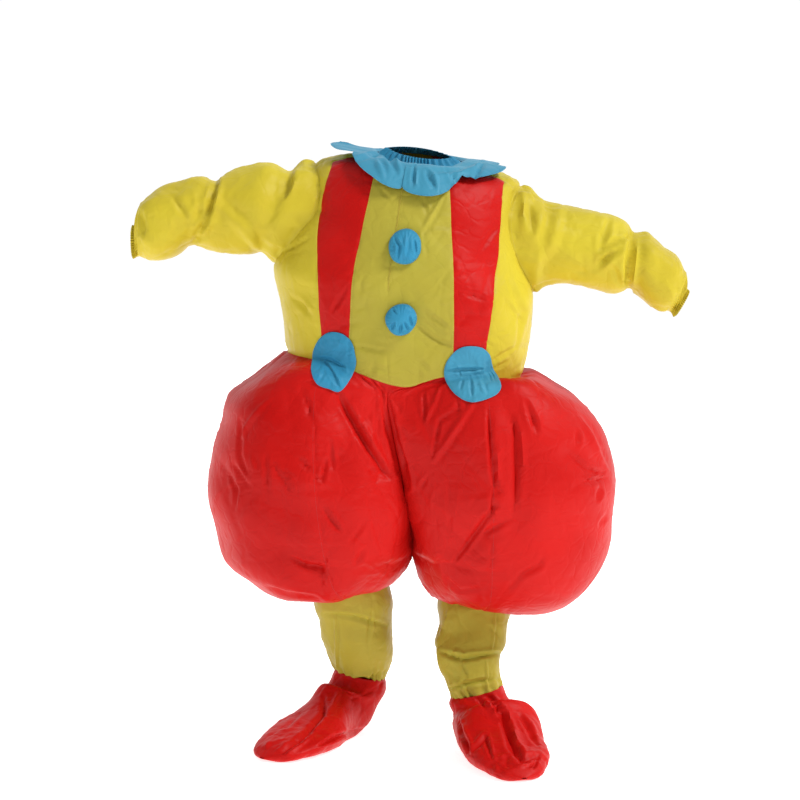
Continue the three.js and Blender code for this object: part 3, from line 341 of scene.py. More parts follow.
# Creases for each cloth: depth in mm (minus is a ridge), half width in pixels, and the places in the
# photograph that the crease passes through
CREASES = {
    "sleeve_right": [
        (9, 4.0, (217, 180), (212, 198), (205, 220), (193, 244)), (6, 5.0, (201, 206), (197, 222)),
        (-4, 6.0, (214, 200), (240, 226), (261, 252)), (4, 3.0, (195, 242), (212, 231)),
        (6, 4.0, (292, 172), (283, 196)), (3, 4.0, (173, 196), (186, 216)),
        (3, 3.0, (142, 212), (144, 235)),
    ],
    "sleeve_left": [
        (5, 3.5, (528, 195), (532, 232)), (3, 3.0, (519, 191), (516, 242)),
        (7, 5.0, (534, 195), (534, 230)), (-3.5, 7.0, (560, 210), (552, 242), (538, 263)),
        (9, 4.0, (632, 234), (629, 262), (629, 289)), (5, 3.5, (629, 236), (599, 250)),
        (4, 4.0, (609, 220), (600, 249)), (4.5, 3.5, (624, 244), (597, 265)),
        (3, 3.0, (611, 253), (596, 271)), (3, 3.0, (613, 267), (620, 285)),
        (-3, 8.0, (640, 240), (677, 271)),
    ],
    "bodice": [
        (-2.4, 2.6, (442, 198), (421, 233)), (2.4, 2.4, (423, 198), (427, 214)),
        (1.8, 2.2, (380, 188), (391, 202)), (3.0, 3.0, (416, 326), (432, 338), (452, 348)),
        (2.2, 2.6, (425, 312), (449, 329)), (1.8, 2.2, (356, 346), (391, 353)),
        (1.8, 2.2, (418, 360), (430, 372)), (1.6, 2.2, (372, 366), (388, 372)),
        (3.0, 3.0, (509, 276), (524, 312), (516, 346)), (2.4, 2.4, (504, 298), (524, 322)),
        (2.4, 2.4, (492, 362), (516, 346)), (2.0, 2.0, (494, 370), (509, 361)),
        (2.5, 3.0, (291, 296), (311, 316)), (2.0, 2.2, (301, 303), (305, 315)),
        (2.2, 2.6, (284, 250), (313, 236)), (2.0, 2.4, (499, 226), (490, 236), (482, 250)),
        (2.0, 2.6, (458, 291), (494, 302)), (2.0, 2.6, (346, 290), (332, 312)),
    ],
    "trouser": [
        (8, 4.0, (338, 392), (357, 426), (371, 450), (392, 477)),
        (6, 4.0, (381, 386), (389, 416), (396, 446), (407, 488)),
        (2.2, 2.6, (300, 384), (308, 404), (313, 423)), (1.2, 2.4, (306, 396), (311, 426)),
        (-2.6, 2.4, (271, 397), (247, 426), (240, 440)), (3.0, 2.6, (241, 419), (240, 455), (249, 478)),
        (3.0, 2.4, (232, 463), (249, 487)), (3.0, 2.4, (227, 473), (235, 490), (235, 511)),
        (-2.4, 2.4, (251, 455), (256, 473)), (2.6, 2.4, (266, 453), (269, 497)),
        (3.2, 2.4, (273, 463), (284, 480), (293, 494)), (2.8, 2.2, (283, 468), (293, 484)),
        (3.2, 2.6, (298, 456), (313, 475)), (3.6, 2.6, (313, 477), (322, 480), (327, 458)),
        (2.4, 2.6, (330, 440), (333, 470)), (3.4, 3.0, (323, 507), (333, 522), (340, 531)),
        (3.4, 2.8, (364, 549), (354, 563)), (2.2, 2.6, (365, 522), (349, 543)),
        (5.5, 3.4, (291, 559), (306, 568), (323, 572), (325, 594)),
        (3.4, 3.0, (267, 585), (286, 592), (320, 597)), (2.4, 2.6, (367, 470), (384, 473)),
        (6.0, 3.8, (510, 413), (516, 438), (517, 464), (513, 519)),
        (4.6, 3.2, (526, 402), (534, 422), (537, 433)),
        (4.6, 3.0, (489, 402), (490, 438), (493, 464), (495, 483), (500, 498)),
        (4.4, 3.0, (497, 502), (481, 525), (453, 563)), (3.6, 3.0, (508, 520), (485, 534)),
        (4.6, 3.0, (572, 451), (591, 468), (610, 474)), (-3.6, 3.0, (580, 418), (593, 438), (612, 474)),
        (3.4, 2.6, (577, 431), (580, 445)), (4.0, 2.8, (585, 483), (611, 478)),
        (3.4, 2.6, (603, 488), (599, 501)), (3.0, 2.6, (602, 525), (609, 515)),
        (2.8, 2.4, (423, 391), (424, 420)), (-2.8, 2.6, (440, 386), (426, 420)),
        (3.2, 2.6, (458, 399), (458, 410), (439, 421), (432, 457)), (-3.4, 3.4, (476, 399), (432, 462)),
        (2.4, 2.4, (418, 490), (426, 478)), (3.8, 3.0, (544, 558), (539, 566), (522, 574), (497, 604)),
        (2.6, 2.6, (445, 576), (460, 590), (487, 588)),
    ],
    "collar": [
        (6.0, 2.6, (383, 150), (391, 160), (398, 172)), (-4.0, 3.0, (376, 160), (384, 176)),
        (4.0, 2.0, (414, 166), (413, 187)), (6.0, 2.8, (426, 172), (435, 186)),
        (-3.6, 3.0, (430, 176), (459, 174), (480, 165)), (4.0, 2.4, (473, 181), (483, 163)),
        (4.0, 2.2, (353, 161), (366, 157), (380, 154)), (3.6, 2.2, (460, 189), (455, 178), (446, 170)),
    ],
    "strap_disc_right": [
        (5.0, 2.2, (325, 362), (331, 372), (336, 381), (340, 390)),
        (3.0, 2.0, (318, 357), (331, 360), (344, 367)), (-2.2, 2.4, (322, 366), (318, 380)),
    ],
    "strap_disc_left": [
        (4.0, 2.0, (445, 372), (458, 370), (482, 369)), (2.4, 1.8, (456, 367), (460, 375)),
        (2.6, 2.0, (470, 377), (472, 396)), (-2.2, 2.0, (478, 376), (484, 392)),
        (2.2, 1.8, (463, 378), (460, 390)),
    ],
    "button_upper": [
        (3.0, 2.0, (394, 236), (399, 246), (398, 258)), (-2.0, 2.2, (406, 236), (404, 256)),
        (2.4, 1.8, (414, 240), (416, 254)),
    ],
    "button_lower": [
        (3.4, 1.8, (394, 322), (391, 331)), (3.4, 1.8, (401, 324), (400, 334)),
        (3.0, 1.8, (409, 316), (413, 328)), (2.6, 1.6, (404, 322), (410, 332)),
        (2.4, 1.8, (391, 308), (396, 313)),
    ],
    "lower_leg": [
        (4.0, 2.8, (324, 614), (356, 618), (386, 625)), (-2.4, 1.6, (335, 616), (336, 640), (337, 672)),
        (4.5, 2.6, (346, 680), (368, 680), (386, 671)), (2.0, 2.2, (372, 612), (368, 640)),
        (5.0, 3.0, (440, 652), (462, 659), (500, 653)), (-2.4, 1.6, (486, 660), (488, 688)),
        (-2.2, 1.6, (495, 612), (492, 650)), (4.5, 2.6, (449, 688), (473, 682), (500, 679)),
        (2.4, 2.2, (461, 662), (467, 677)),
    ],
    "shoe_cover": [
        (6.0, 3.0, (324, 697), (323, 715), (306, 733), (279, 756)),
        (4.0, 2.6, (374, 727), (338, 736), (320, 745)), (-3.0, 3.0, (340, 690), (330, 712)),
        (4.0, 2.2, (259, 755), (269, 762)), (2.6, 2.4, (300, 712), (286, 728)),
        (8.5, 4.0, (491, 697), (503, 715), (511, 744), (523, 759), (538, 756)),
        (-4.0, 3.0, (484, 697), (500, 721)), (4.6, 3.0, (520, 715), (538, 744)),
        (6.0, 3.0, (456, 718), (466, 744), (467, 753)), (4.0, 2.6, (473, 750), (485, 738), (491, 756)),
        (4.0, 2.6, (505, 773), (532, 768), (538, 759)), (3.0, 2.2, (476, 697), (485, 707)),
    ],
}

# Where the panels of a leg meet, in quarters round its section, and how many of the waist's steps each takes
PLACES = {"front": 0.9, "side": 2, "back": 3.1, "end": 4}
LEG_STEPS = {"right": (6, 5, 5, 6), "left": (7, 5, 5, 7)}
LEG_PANELS = ("front_inner", "front_outer", "back_outer", "back_inner")

# Zip: where its teeth start and end along the front, and the parts of its slider
ZIP = {"from": 36, "to": 330, "half": 0.85, "above": 0.4, "stitch_at": 5.5}
ZIP_TOOTH = {"pitch": 2.1, "stitch": 1.3, "wide": 1.7, "high": 0.9}
ZIP_SLIDER = [
    ("zip_slider", 0, 9, 6.5, 3.0),
    ("zip_puller", 6, 17, 4.0, 4.2),
]

# Stitches down the bodice: name, the panel that they start at, and the side of its seam that they are on
BODICE_ROWS = [
    ("strap_right", 1, -1), ("strap_right_inner", 2, 1), ("strap_left_inner", 4, -1), ("strap_left", 5, 1),
    ("back_left", 7, -1), ("back_left_inner", 8, 1), ("back_right_inner", 10, -1), ("back_right", 11, 1),
]

# Studio: how bright the room and the wall are, the floor's half width in metres, tone and glow, and each
# light's direction, strength and softness
ROOM_LIGHT = 0.28
WALL_LIGHT = 1.02
FLOOR = {"half": 14.0, "below": 0.001, "tone": 0.92, "glow": 0.80}
LIGHTS = [
    ("key", (0.82, -0.42, 0.92), 2.45, 16),
    ("fill", (-0.75, -0.6, 0.9), 0.05, 50),
]

# Seeds of each cloth's random waves and creases
SEEDS = {
    "bodice": 11, "sleeve_right": 31, "sleeve_left": 47, "cuff_right": 61, "cuff_left": 67,
    "trouser_right": 83, "trouser_left": 89, "lower_leg_right": 97, "lower_leg_left": 101,
    "shoe_cover_right": 103, "shoe_cover_left": 107, "neck": 5, "collar_right": 29, "collar_left": 23,
    "collar_edge": 3,
}

# Each worked cloth by its name, for the pieces that are put on it later
SURFACES = {}


def between(a, b, share):
    return a + (b - a) * share


def power(value, exponent):
    return np.sign(value) * np.abs(value) ** exponent


def unit(vectors):
    return vectors / np.maximum(np.linalg.norm(vectors, axis=-1, keepdims=True), 1e-9)


def wander(values, seed):
    """Smooth random heights from -1 to 1 along a line, the same on every run."""
    marks = np.random.default_rng(seed).uniform(-1, 1, 4096)
    low = np.floor(values).astype(int)
    share = values - low
    share = share * share * (3 - 2 * share)
    return between(marks[low % 4096], marks[(low + 1) % 4096], share)


def smooth_rows(grid, step=GRID):
    """A closer grid through every row of a coarse one."""
    gaps = np.linalg.norm(np.diff(grid, axis=0), axis=2).mean(axis=1)
    slopes = np.diff(grid, axis=0) / gaps[:, None, None]
    tangents = np.empty_like(grid)
    tangents[0], tangents[-1] = slopes[0], slopes[-1]
    before, after = gaps[:-1, None, None], gaps[1:, None, None]
    tangents[1:-1] = (slopes[:-1] * after + slopes[1:] * before) / (before + after)
    rows = []
    for index, gap in enumerate(gaps):
        count = max(1, math.ceil(gap / step))
        for share in np.arange(count) / count:
            square, cube = share ** 2, share ** 3
            rows.append((2 * cube - 3 * square + 1) * grid[index] + (cube - 2 * square + share) * gap
                        * tangents[index] + (3 * square - 2 * cube) * grid[index + 1]
                        + (cube - square) * gap * tangents[index + 1])
    rows.append(grid[-1])
    return np.array(rows)


def normals_of(grid, loop):
    """Directions out of the cloth. A loop's last column is its first one again."""
    if loop:
        across = np.roll(grid[:, :-1], -1, axis=1) - np.roll(grid[:, :-1], 1, axis=1)
        across = np.concatenate([across, across[:, :1]], axis=1)
    else:
        across = np.gradient(grid, axis=1)
    down = np.gradient(grid, axis=0)
    normals = unit(np.cross(down, across))
    outward = grid - grid.mean(axis=1, keepdims=True)
    return normals if np.sum(normals * outward) > 0 else -normals


def lengths_along(grid, axis):
    steps = np.linalg.norm(np.diff(grid, axis=axis), axis=2)
    total = np.cumsum(steps, axis=axis)
    start = np.zeros_like(total[:1] if axis == 0 else total[:, :1])
    return np.concatenate([start, total], axis=axis)


def sample(at, run, values):
    """Values along a line at places of its run."""
    return np.stack([np.interp(at, run, values[:, axis]) for axis in range(3)], axis=-1)


def picture_place(points):
    """Where points fall in the photograph, in its pixels."""
    forward = unit(AIM - EYE)
    right = np.array([1.0, 0.0, 0.0])
    upward = np.cross(right, forward)
    seen = points - EYE
    depth = seen @ forward
    return (PICTURE / 2 + FOCAL_PIXELS * (seen @ right) / depth,
            PICTURE / 2 - FOCAL_PIXELS * (seen @ upward) / depth)


def press(places, points, depth, wide):
    """The lift of one crease through points of the photograph, deepest in the middle of its length."""
    u, v = places
    count = len(points) - 1
    nearest = np.full(u.shape, np.inf)
    share = np.zeros(u.shape)
    side = np.zeros(u.shape)
    for index in range(count):
        (u0, v0), (u1, v1) = points[index], points[index + 1]
        du, dv = u1 - u0, v1 - v0
        size = math.hypot(du, dv)
        along = np.clip(((u - u0) * du + (v - v0) * dv) / size ** 2, 0, 1)
        away = np.hypot(u - u0 - along * du, v - v0 - along * dv)
        closer = away < nearest
        nearest = np.where(closer, away, nearest)
        share = np.where(closer, (index + along) / count, share)
        side = np.where(closer, np.sign((u - u0) * dv - (v - v0) * du), side)
    # Shallower and narrower towards both ends
    taper = np.sin(math.pi * np.clip(0.06 + 0.88 * share, 0, 1)) ** 0.7
    offset = nearest / (CREASE_WIDTH * wide * (0.55 + 0.45 * taper))
    # A trough with a low ridge on each side, one of them higher
    shape = -np.exp(-offset ** 2) + (0.38 + 0.16 * side) * np.exp(-((offset - 1.9) / 0.9) ** 2)
    return CREASE_DEPTH * depth * taper * shape


class Surface:
    """A grid of cloth, the directions out of it, and how far each point is still to be lifted."""

    def __init__(self, grid, loop, seed):
        self.grid, self.loop, self.seed = grid, loop, seed
        self.normals = normals_of(grid, loop)
        self.lift = np.zeros(grid.shape[:2])
        self.flat = grid.copy()

    def pucker_columns(self, columns, height, wave, reach):
        """Puckers along seams that run down the grid, which also draw the cloth in."""
        across = lengths_along(self.grid, 1)
        down = lengths_along(self.grid, 0)
        for number, column in enumerate(columns):
            distance = np.abs(across - across[:, column:column + 1])
            if self.loop:
                distance = np.minimum(distance, across[:, -1:] - distance)
            along = down[:, column:column + 1]
            self._pucker(distance, along, height, wave, reach, 5.0, self.seed + 7 * number)
            self.lift -= SEAM_SINK * np.exp(-(distance / 3.5) ** 2)

    def pucker_row(self, row, height, wave, reach):
        """Puckers along a seam that crosses the grid."""
        down = lengths_along(self.grid, 0)
        across = lengths_along(self.grid, 1)
        distance = np.abs(down - down[row:row + 1])
        along = np.broadcast_to(across[row:row + 1], distance.shape)
        self._pucker(distance, along, height, wave, reach, 6.0, self.seed + 501 + row)

    def _pucker(self, distance, along, height, wave, reach, hold, seed):
        """Ripples that die out away from a seam, whose own points stay where they are."""
        strength = height * (0.45 + 0.55 * np.abs(wander(along / (3.1 * wave), seed + 1)))
        length = reach * (0.35 + 0.9 * np.abs(wander(along / (1.3 * wave), seed + 2)))
        ripple = strength * wander(along / wave, seed + 3) * np.exp(-distance / length)
        self.lift += ripple * (1 - np.exp(-(distance / hold) ** 2))

    def work(self, cloth, first=None, last=None):
        """A cloth's waves, fine creases, and puckers at the seams of its first and last row."""
        self.billow(*WAVES[cloth])
        self.crackle(*FINE_CREASES[cloth])
        if first:
            self.pucker_row(0, *PUCKERS[first])
        if last:
            self.pucker_row(len(self.grid) - 1, *PUCKERS[last])

    def crease(self, cloth):
        """Presses in the photograph's creases, and their like on the side that it hides."""
        facing = -(self.normals @ unit(AIM - EYE))
        shown, behind = np.clip(facing * 4, 0, 1), np.clip(-facing * 4, 0, 1)
        places = picture_place(self.grid)
        for depth, wide, *points in CREASES[cloth]:
            self.lift += press(places, points, depth, wide) * shown
            if cloth == "bodice":
                points = [(2 * BODICE_MIDDLE - u, v) for u, v in points]
            hidden = [(u, v + HIDDEN_DROP) for u, v in points]
            self.lift += press(places, hidden, 0.8 * depth, wide) * behind

    def billow(self, count, height, short, wide):
        """Soft uneven waves over the whole cloth."""
        chance = np.random.default_rng(self.seed + 31)
        for _ in range(count):
            direction = unit(chance.normal(size=3))
            turns = self.grid @ direction / chance.uniform(short, wide) + chance.uniform(0, 1)
            self.lift += height * chance.uniform(0.5, 1.5) / math.sqrt(count) * np.sin(2 * math.pi * turns)

    def fold(self, cloth):
        for name, face, from_x, from_z, to_x, to_z, wide, deep in FOLDS:
            if name != cloth:
                continue
            dx, dz = to_x - from_x, to_z - from_z
            x, z = self.grid[..., 0], self.grid[..., 2]
            along = np.clip(((x - from_x) * dx + (z - from_z) * dz) / (dx * dx + dz * dz), 0, 1)
            away = np.hypot(x - from_x - along * dx, z - from_z - along * dz) / wide
            front = self.grid[..., 1] < 0
            weight = np.abs(self.normals[..., 1]) * (front if face == "front" else ~front)
            self.lift -= deep * np.exp(-away ** 2) * weight

    def crackle(self, count, depth, long):
        """Short straight creases that thin cloth takes all over, scattered by the surface's seed."""
        chance = np.random.default_rng(self.seed + 97)
        rows, columns = self.lift.shape
        reach = math.ceil(1.3 * long / GRID) + 2
        for _ in range(count):
            row, column = chance.integers(0, rows), chance.integers(0, columns)
            near = slice(max(0, row - reach), row + reach)
            normal = self.normals[row, column]
            direction = unit(np.cross(normal, chance.normal(size=3)))
            sideways = np.cross(normal, direction)
            offset = self.grid[near] - self.grid[row, column]
            along = offset @ direction / (long * chance.uniform(0.3, 1.3))
            away = offset @ sideways / chance.uniform(2.6, 6.0)
            bend = 0.35 * np.sin(3 * along + chance.uniform(0, 6))
            inside = np.clip(1 - along ** 2, 0, 1) * (np.abs(offset @ normal) < 60)
            height = chance.uniform(-1.2, 0.9) * depth
            self.lift[near] += height * inside * np.exp(-np.abs(away + bend))

    def settle(self, first=None, last=None):
        """Fades the lift out towards the rows that another piece shares, then moves the points."""
        down = lengths_along(self.grid, 0)
        if first is not None:
            self.lift *= 1 - np.exp(-(down / first) ** 2)
        if last is not None:
            self.lift *= 1 - np.exp(-((down[-1:] - down) / last) ** 2)
        self.grid = self.grid + self.normals * self.lift[..., None]
        self.normals = normals_of(self.grid, self.loop)


def belly_at(x):
    """How much of the waist's dip a place on the front takes."""
    offset = x - BELLY["middle"]
    return np.exp(-(offset / np.where(offset < 0, BELLY["to_right"], BELLY["to_left"])) ** 2)


# Bodice
def seam_turns(rings, seam, face):
    if seam == "side":
        return np.full(len(rings["height"]), math.pi if face == "front" else 2 * math.pi)
    top = SEAMS["height"][-1]
    own = np.minimum(rings["height"], top)
    measured = {key: np.interp(own, TORSO["height"], TORSO[key]) for key in ("middle", "half", "square")}
    share = (np.interp(own, SEAMS["height"], SEAMS[seam]) - measured["middle"]) / measured["half"]
    turn = np.arccos(-power(share, measured["square"] / 2))
    return turn if face == "front" else 2 * math.pi - turn


def torso_points(columns):
    """The bodice's rings, from the neck down, at any places along the steps of its panels."""
    rings = {key: values[::-1] for key, values in TORSO.items()}
    stops, turns = [0], [np.zeros(len(rings["height"]))]
    for _, seam, face, steps, _ in BODICE_PANELS:
        stops.append(stops[-1] + steps)
        turns.append(seam_turns(rings, seam, face))
    turn = np.array([np.interp(columns, stops, row) for row in np.array(turns).T])
    part = {key: values[:, None] for key, values in rings.items()}
    cosine, sine = np.cos(turn), np.sin(turn)
    x = part["middle"] - part["half"] * power(cosine, 2 / part["square"])
    y = -np.where(sine > 0, part["front"], part["back"]) * power(sine, 2 / part["square"])
    sunk = np.where(part["height"] < BELLY["top"], belly_at(x), sine ** 2)
    z = (part["height"] - TILT * x - part["dip"] * np.where(sine > 0, sunk, 0)
         + part["rise"] * np.maximum(-sine, 0) ** 2)
    return np.stack([x, y, z], axis=-1)


def armhole_points(side, turns):
    height = ARMHOLE["height"] + ARMHOLE["tall"] * np.cos(turns)
    y = -ARMHOLE["deep"] * np.sin(turns)
    ring = {key: np.interp(height, TORSO["height"], TORSO[key])
            for key in ("middle", "half", "front", "back", "square")}
    depth = np.where(y < 0, ring["front"], ring["back"])
    reach = ring["half"] * (1 - np.abs(y / depth) ** ring["square"]) ** (1 / ring["square"])
    x = ring["middle"] + side * reach
    return np.stack([x, y, height - TILT * x], axis=-1)


# Sleeves and cuffs
def arm_rings(rows, turns):
    rings = []
    for index in range(len(rows["deep"])):
        share = 0.5 + 0.5 * np.cos(turns)
        rings.append(np.stack([
            between(rows["low_x"][index], rows["top_x"][index], share),
            -rows["deep"][index] * np.sin(turns),
            between(rows["low_z"][index], rows["top_z"][index], share)], axis=-1))
    return np.array(rings)


# Trousers, lower legs and shoe covers
def balloon_ring(row, place):
    front = place <= 2
    depth = np.where(front, row["front"], row["back"])
    valley = np.where(front, row.get("valley_front", 0), row.get("valley_back", 0))
    way = np.where(front, place, 4 - place)
    inner = way <= 1
    angle = np.where(inner, way, way - 1) * math.pi / 2
    cosine = np.clip(np.cos(angle), 0, 1) ** FULLNESS
    sine = np.clip(np.sin(angle), 0, 1) ** FULLNESS
    x = np.where(inner, between(row["inner_x"], row["deep_x"], 1 - cosine),
                 between(row["deep_x"], row["outer_x"], sine))
    reach = np.where(inner, between(valley, depth, sine), depth * cosine)
    share = (x - row["inner_x"]) / (row["outer_x"] - row["inner_x"])
    sag = np.where(front, row.get("dip", 0) * belly_at(x), 0)
    z = between(row["inner_z"], row["outer_z"], share) - sag
    return np.stack([x, np.where(front, -reach, reach) + row.get("centre_y", 0), z], axis=-1)


def rows_of(*tables):
    merged = {}
    for columns in tables:
        merged.update(columns)
    count = len(next(iter(merged.values())))
    return [{key: values[index] for key, values in merged.items()} for index in range(count)]


def leg_stops(leg):
    """The steps round a leg at which its panels meet."""
    return np.cumsum([0, *LEG_STEPS[leg]])


def leg_columns(leg):
    return np.linspace(0, sum(LEG_STEPS[leg]), sum(LEG_STEPS[leg]) * LEG_FINE + 1)


def leg_places(leg):
    return np.interp(leg_columns(leg), leg_stops(leg), [0, *PLACES.values()])


def balloon_points(leg):
    side = -1 if leg == "right" else 1
    columns = leg_columns(leg)
    waist = torso_points((ZIP_COLUMN + side * columns) % AROUND)[-1]
    rings = [waist]
    for row in rows_of(BALLOONS[leg], RISE):
        rings.append(balloon_ring(row, leg_places(leg)))
    for row in rows_of(BALLOONS_LOW[leg]):
        rings.append(balloon_ring(row, leg_places(leg)))
    return np.array(rings)


def shank_points(leg, opening):
    rings = [opening]
    for row in rows_of(SHANKS[leg]):
        row.update(deep_x=(row["inner_x"] + row["outer_x"]) / 2, front=row["deep"], back=row["deep"])
        rings.append(balloon_ring(row, leg_places(leg)))
    return np.array(rings)


def shoe_points(leg, ankle):
    foot = FEET[leg]
    heading = math.radians(foot["turn"])
    ahead = np.array([-math.sin(heading), -math.cos(heading), 0.0])
    across = np.array([math.cos(heading), -math.sin(heading), 0.0])
    upward = np.array([0.0, 0.0, 1.0])
    base = np.array([foot["x"], foot["y"], 0.0])
    spokes = ankle - ankle[1:].mean(axis=0)
    angles = np.arctan2(spokes @ ahead, spokes @ across)
    rings = [ankle]
    for row in rows_of(SHOES[leg]):
        lean = math.radians(row["lean"])
        middle = base + ahead * row["along"] + across * row["side"] + upward * row["high"]
        second = ahead * math.cos(lean) + upward * math.sin(lean)
        rings.append(middle + np.outer(row["wide"] * power(np.cos(angles), FULLNESS), across)
                     + np.outer(row["long"] * power(np.sin(angles), FULLNESS), second))
    tip = base + ahead * foot["toe_along"] + upward * foot["toe_high"]
    rings.append(np.tile(tip, (len(ankle), 1)))
    rings = np.array(rings)
    rings[..., 2] = np.maximum(rings[..., 2], 0)
    return rings


# Materials
def principled(name, roughness):
    material = bpy.data.materials.new(name)
    material.use_nodes = True
    nodes = material.node_tree.nodes
    shader = nodes["Principled BSDF"]
    shader.inputs["Roughness"].default_value = roughness
    return material, nodes, material.node_tree.links, shader


def add_node(nodes, kind, **values):
    """A new node with its inputs set by their names."""
    node = nodes.new(f"ShaderNode{kind}")
    for name, value in values.items():
        node.inputs[name.replace("_", " ")].default_value = value
    return node


def add_colour(nodes, links, source, shader, colours, ends):
    """The shader's colour runs between two colours as the source does."""
    ramp = add_node(nodes, "ValToRGB")
    for element, end, colour in zip(ramp.color_ramp.elements, ends, colours):
        element.position = end
        element.color = (*colour, 1)
    links.new(source.outputs["Fac"], ramp.inputs["Fac"])
    links.new(ramp.outputs["Color"], shader.inputs["Base Color"])


def add_bump(nodes, links, height, strength, distance):
    bump = add_node(nodes, "Bump", Strength=strength, Distance=distance)
    links.new(height, bump.inputs["Height"])
    return bump


def cloth_material(name, lit, shade, seed):
    """Thin coated nylon: a plain weave, soft crackle, and a colour that clouds a little."""
    material, nodes, links, shader = principled(name, 0.42)
    shader.inputs["Specular IOR Level"].default_value = 0.11
    place = add_node(nodes, "TexCoord")
    shift = add_node(nodes, "Mapping", Location=(seed, seed * 0.37, seed * 0.71))
    links.new(place.outputs["Object"], shift.inputs["Vector"])
    clouds = add_node(nodes, "TexNoise", Scale=5.0, Detail=5.0)
    links.new(shift.outputs["Vector"], clouds.inputs["Vector"])
    add_colour(nodes, links, clouds, shader, (shade, lit), (0.3, 0.7))
    gloss = add_node(nodes, "MapRange", To_Min=0.36, To_Max=0.52)
    links.new(clouds.outputs["Fac"], gloss.inputs["Value"])
    links.new(gloss.outputs["Result"], shader.inputs["Roughness"])

    crush = add_node(nodes, "TexNoise", Scale=9.0, Detail=3.0)
    links.new(shift.outputs["Vector"], crush.inputs["Vector"])
    bent = add_node(nodes, "MixRGB", Fac=0.12)
    links.new(shift.outputs["Vector"], bent.inputs["Color1"])
    links.new(crush.outputs["Color"], bent.inputs["Color2"])
    facets = add_node(nodes, "TexVoronoi", Scale=26.0)
    facets.feature = "DISTANCE_TO_EDGE"
    links.new(bent.outputs["Color"], facets.inputs["Vector"])
    edge = add_node(nodes, "MapRange", From_Max=0.16)
    edge.interpolation_type = "SMOOTHSTEP"
    links.new(facets.outputs["Distance"], edge.inputs["Value"])
    fold = add_bump(nodes, links, edge.outputs["Result"], 0.22, 0.002)

    woven = add_node(nodes, "Math")
    woven.operation = "MULTIPLY"
    for number, axis in enumerate(("X", "Z")):
        threads = add_node(nodes, "TexWave", Scale=420.0, Distortion=0.6)
        threads.wave_type = "BANDS"
        threads.bands_direction = axis
        links.new(shift.outputs["Vector"], threads.inputs["Vector"])
        links.new(threads.outputs["Fac"], woven.inputs[number])
    fine = add_bump(nodes, links, woven.outputs["Value"], 0.25, 0.00012)
    links.new(fold.outputs["Normal"], fine.inputs["Normal"])
    links.new(fine.outputs["Normal"], shader.inputs["Normal"])
    return material


def plain_material(name, colour, roughness):
    """Thread or moulded plastic, with a fine grain."""
    material, nodes, links, shader = principled(name, roughness)
    place = add_node(nodes, "TexCoord")
    grain = add_node(nodes, "TexNoise", Scale=900.0)
    links.new(place.outputs["Object"], grain.inputs["Vector"])
    add_colour(nodes, links, grain, shader, ([value * 0.8 for value in colour], colour), (0.0, 1.0))
    bump = add_bump(nodes, links, grain.outputs["Fac"], 0.2, 0.0003)
    links.new(bump.outputs["Normal"], shader.inputs["Normal"])
    return material


MATERIALS = {
    "yellow": cloth_material("yellow_nylon", (0.62, 0.505, 0.036), (0.54, 0.42, 0.030), 1.0),
    # A darker copy of the yellow nylon: painted shade on the bodice's centre panels and the lower legs
    "shaded_yellow": cloth_material("shaded_yellow_nylon", (0.44, 0.375, 0.046), (0.37, 0.305, 0.036), 4.0),
    "red": cloth_material("red_nylon", (0.56, 0.009, 0.007), (0.45, 0.004, 0.003), 7.0),
    "blue": cloth_material("blue_nylon", (0.040, 0.27, 0.44), (0.028, 0.21, 0.37), 11.0),
    # A lighter copy of the blue nylon: painted light on the collar and the left strap disc
    "lit_blue": cloth_material("lit_blue_nylon", (0.062, 0.30, 0.44), (0.048, 0.25, 0.39), 13.0),
    "thread_yellow": plain_material("yellow_thread", (0.62, 0.50, 0.06), 0.6),
    "thread_red": plain_material("red_thread", (0.42, 0.012, 0.014), 0.6),
    "thread_blue": plain_material("blue_thread", (0.05, 0.24, 0.42), 0.6),
    "plastic": plain_material("black_plastic", (0.02, 0.02, 0.022), 0.45),
}


# Pieces
def add_mesh(name, points, faces, colour, smooth=True):
    mesh = bpy.data.meshes.new(name)
    mesh.from_pydata(((points - NECK) * MM).tolist(), [], faces)
    mesh.validate()
    mesh.update()
    if smooth:
        mesh.polygons.foreach_set("use_smooth", [True] * len(mesh.polygons))
        mesh.set_sharp_from_angle(angle=math.radians(SHARP_ANGLE))
    piece = bpy.data.objects.new(name, mesh)
    bpy.context.scene.collection.objects.link(piece)
    mesh.materials.append(MATERIALS[colour])
    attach(piece, "root")
    return piece


def grid_faces(rows, columns, offset, flip):
    corner = np.arange(rows - 1)[:, None] * columns + np.arange(columns - 1)[None, :] + offset
    corner = corner.ravel()
    order = (corner, corner + 1, corner + columns + 1, corner + columns)
    return np.stack(order[::-1] if flip else order, axis=1)


def add_welded(name, points, faces, ids, colour):
    """A piece whose points are one where ids gives them one number, without the faces that this closes."""
    faces = [tuple(dict.fromkeys(int(ids[index]) for index in face)) for face in faces]
    faces = [face for face in faces if len(face) > 2]
    used = sorted({index for face in faces for index in face})
    renumber = {old: new for new, old in enumerate(used)}
    faces = [tuple(renumber[index] for index in face) for face in faces]
    return add_mesh(name, points[used], faces, colour)


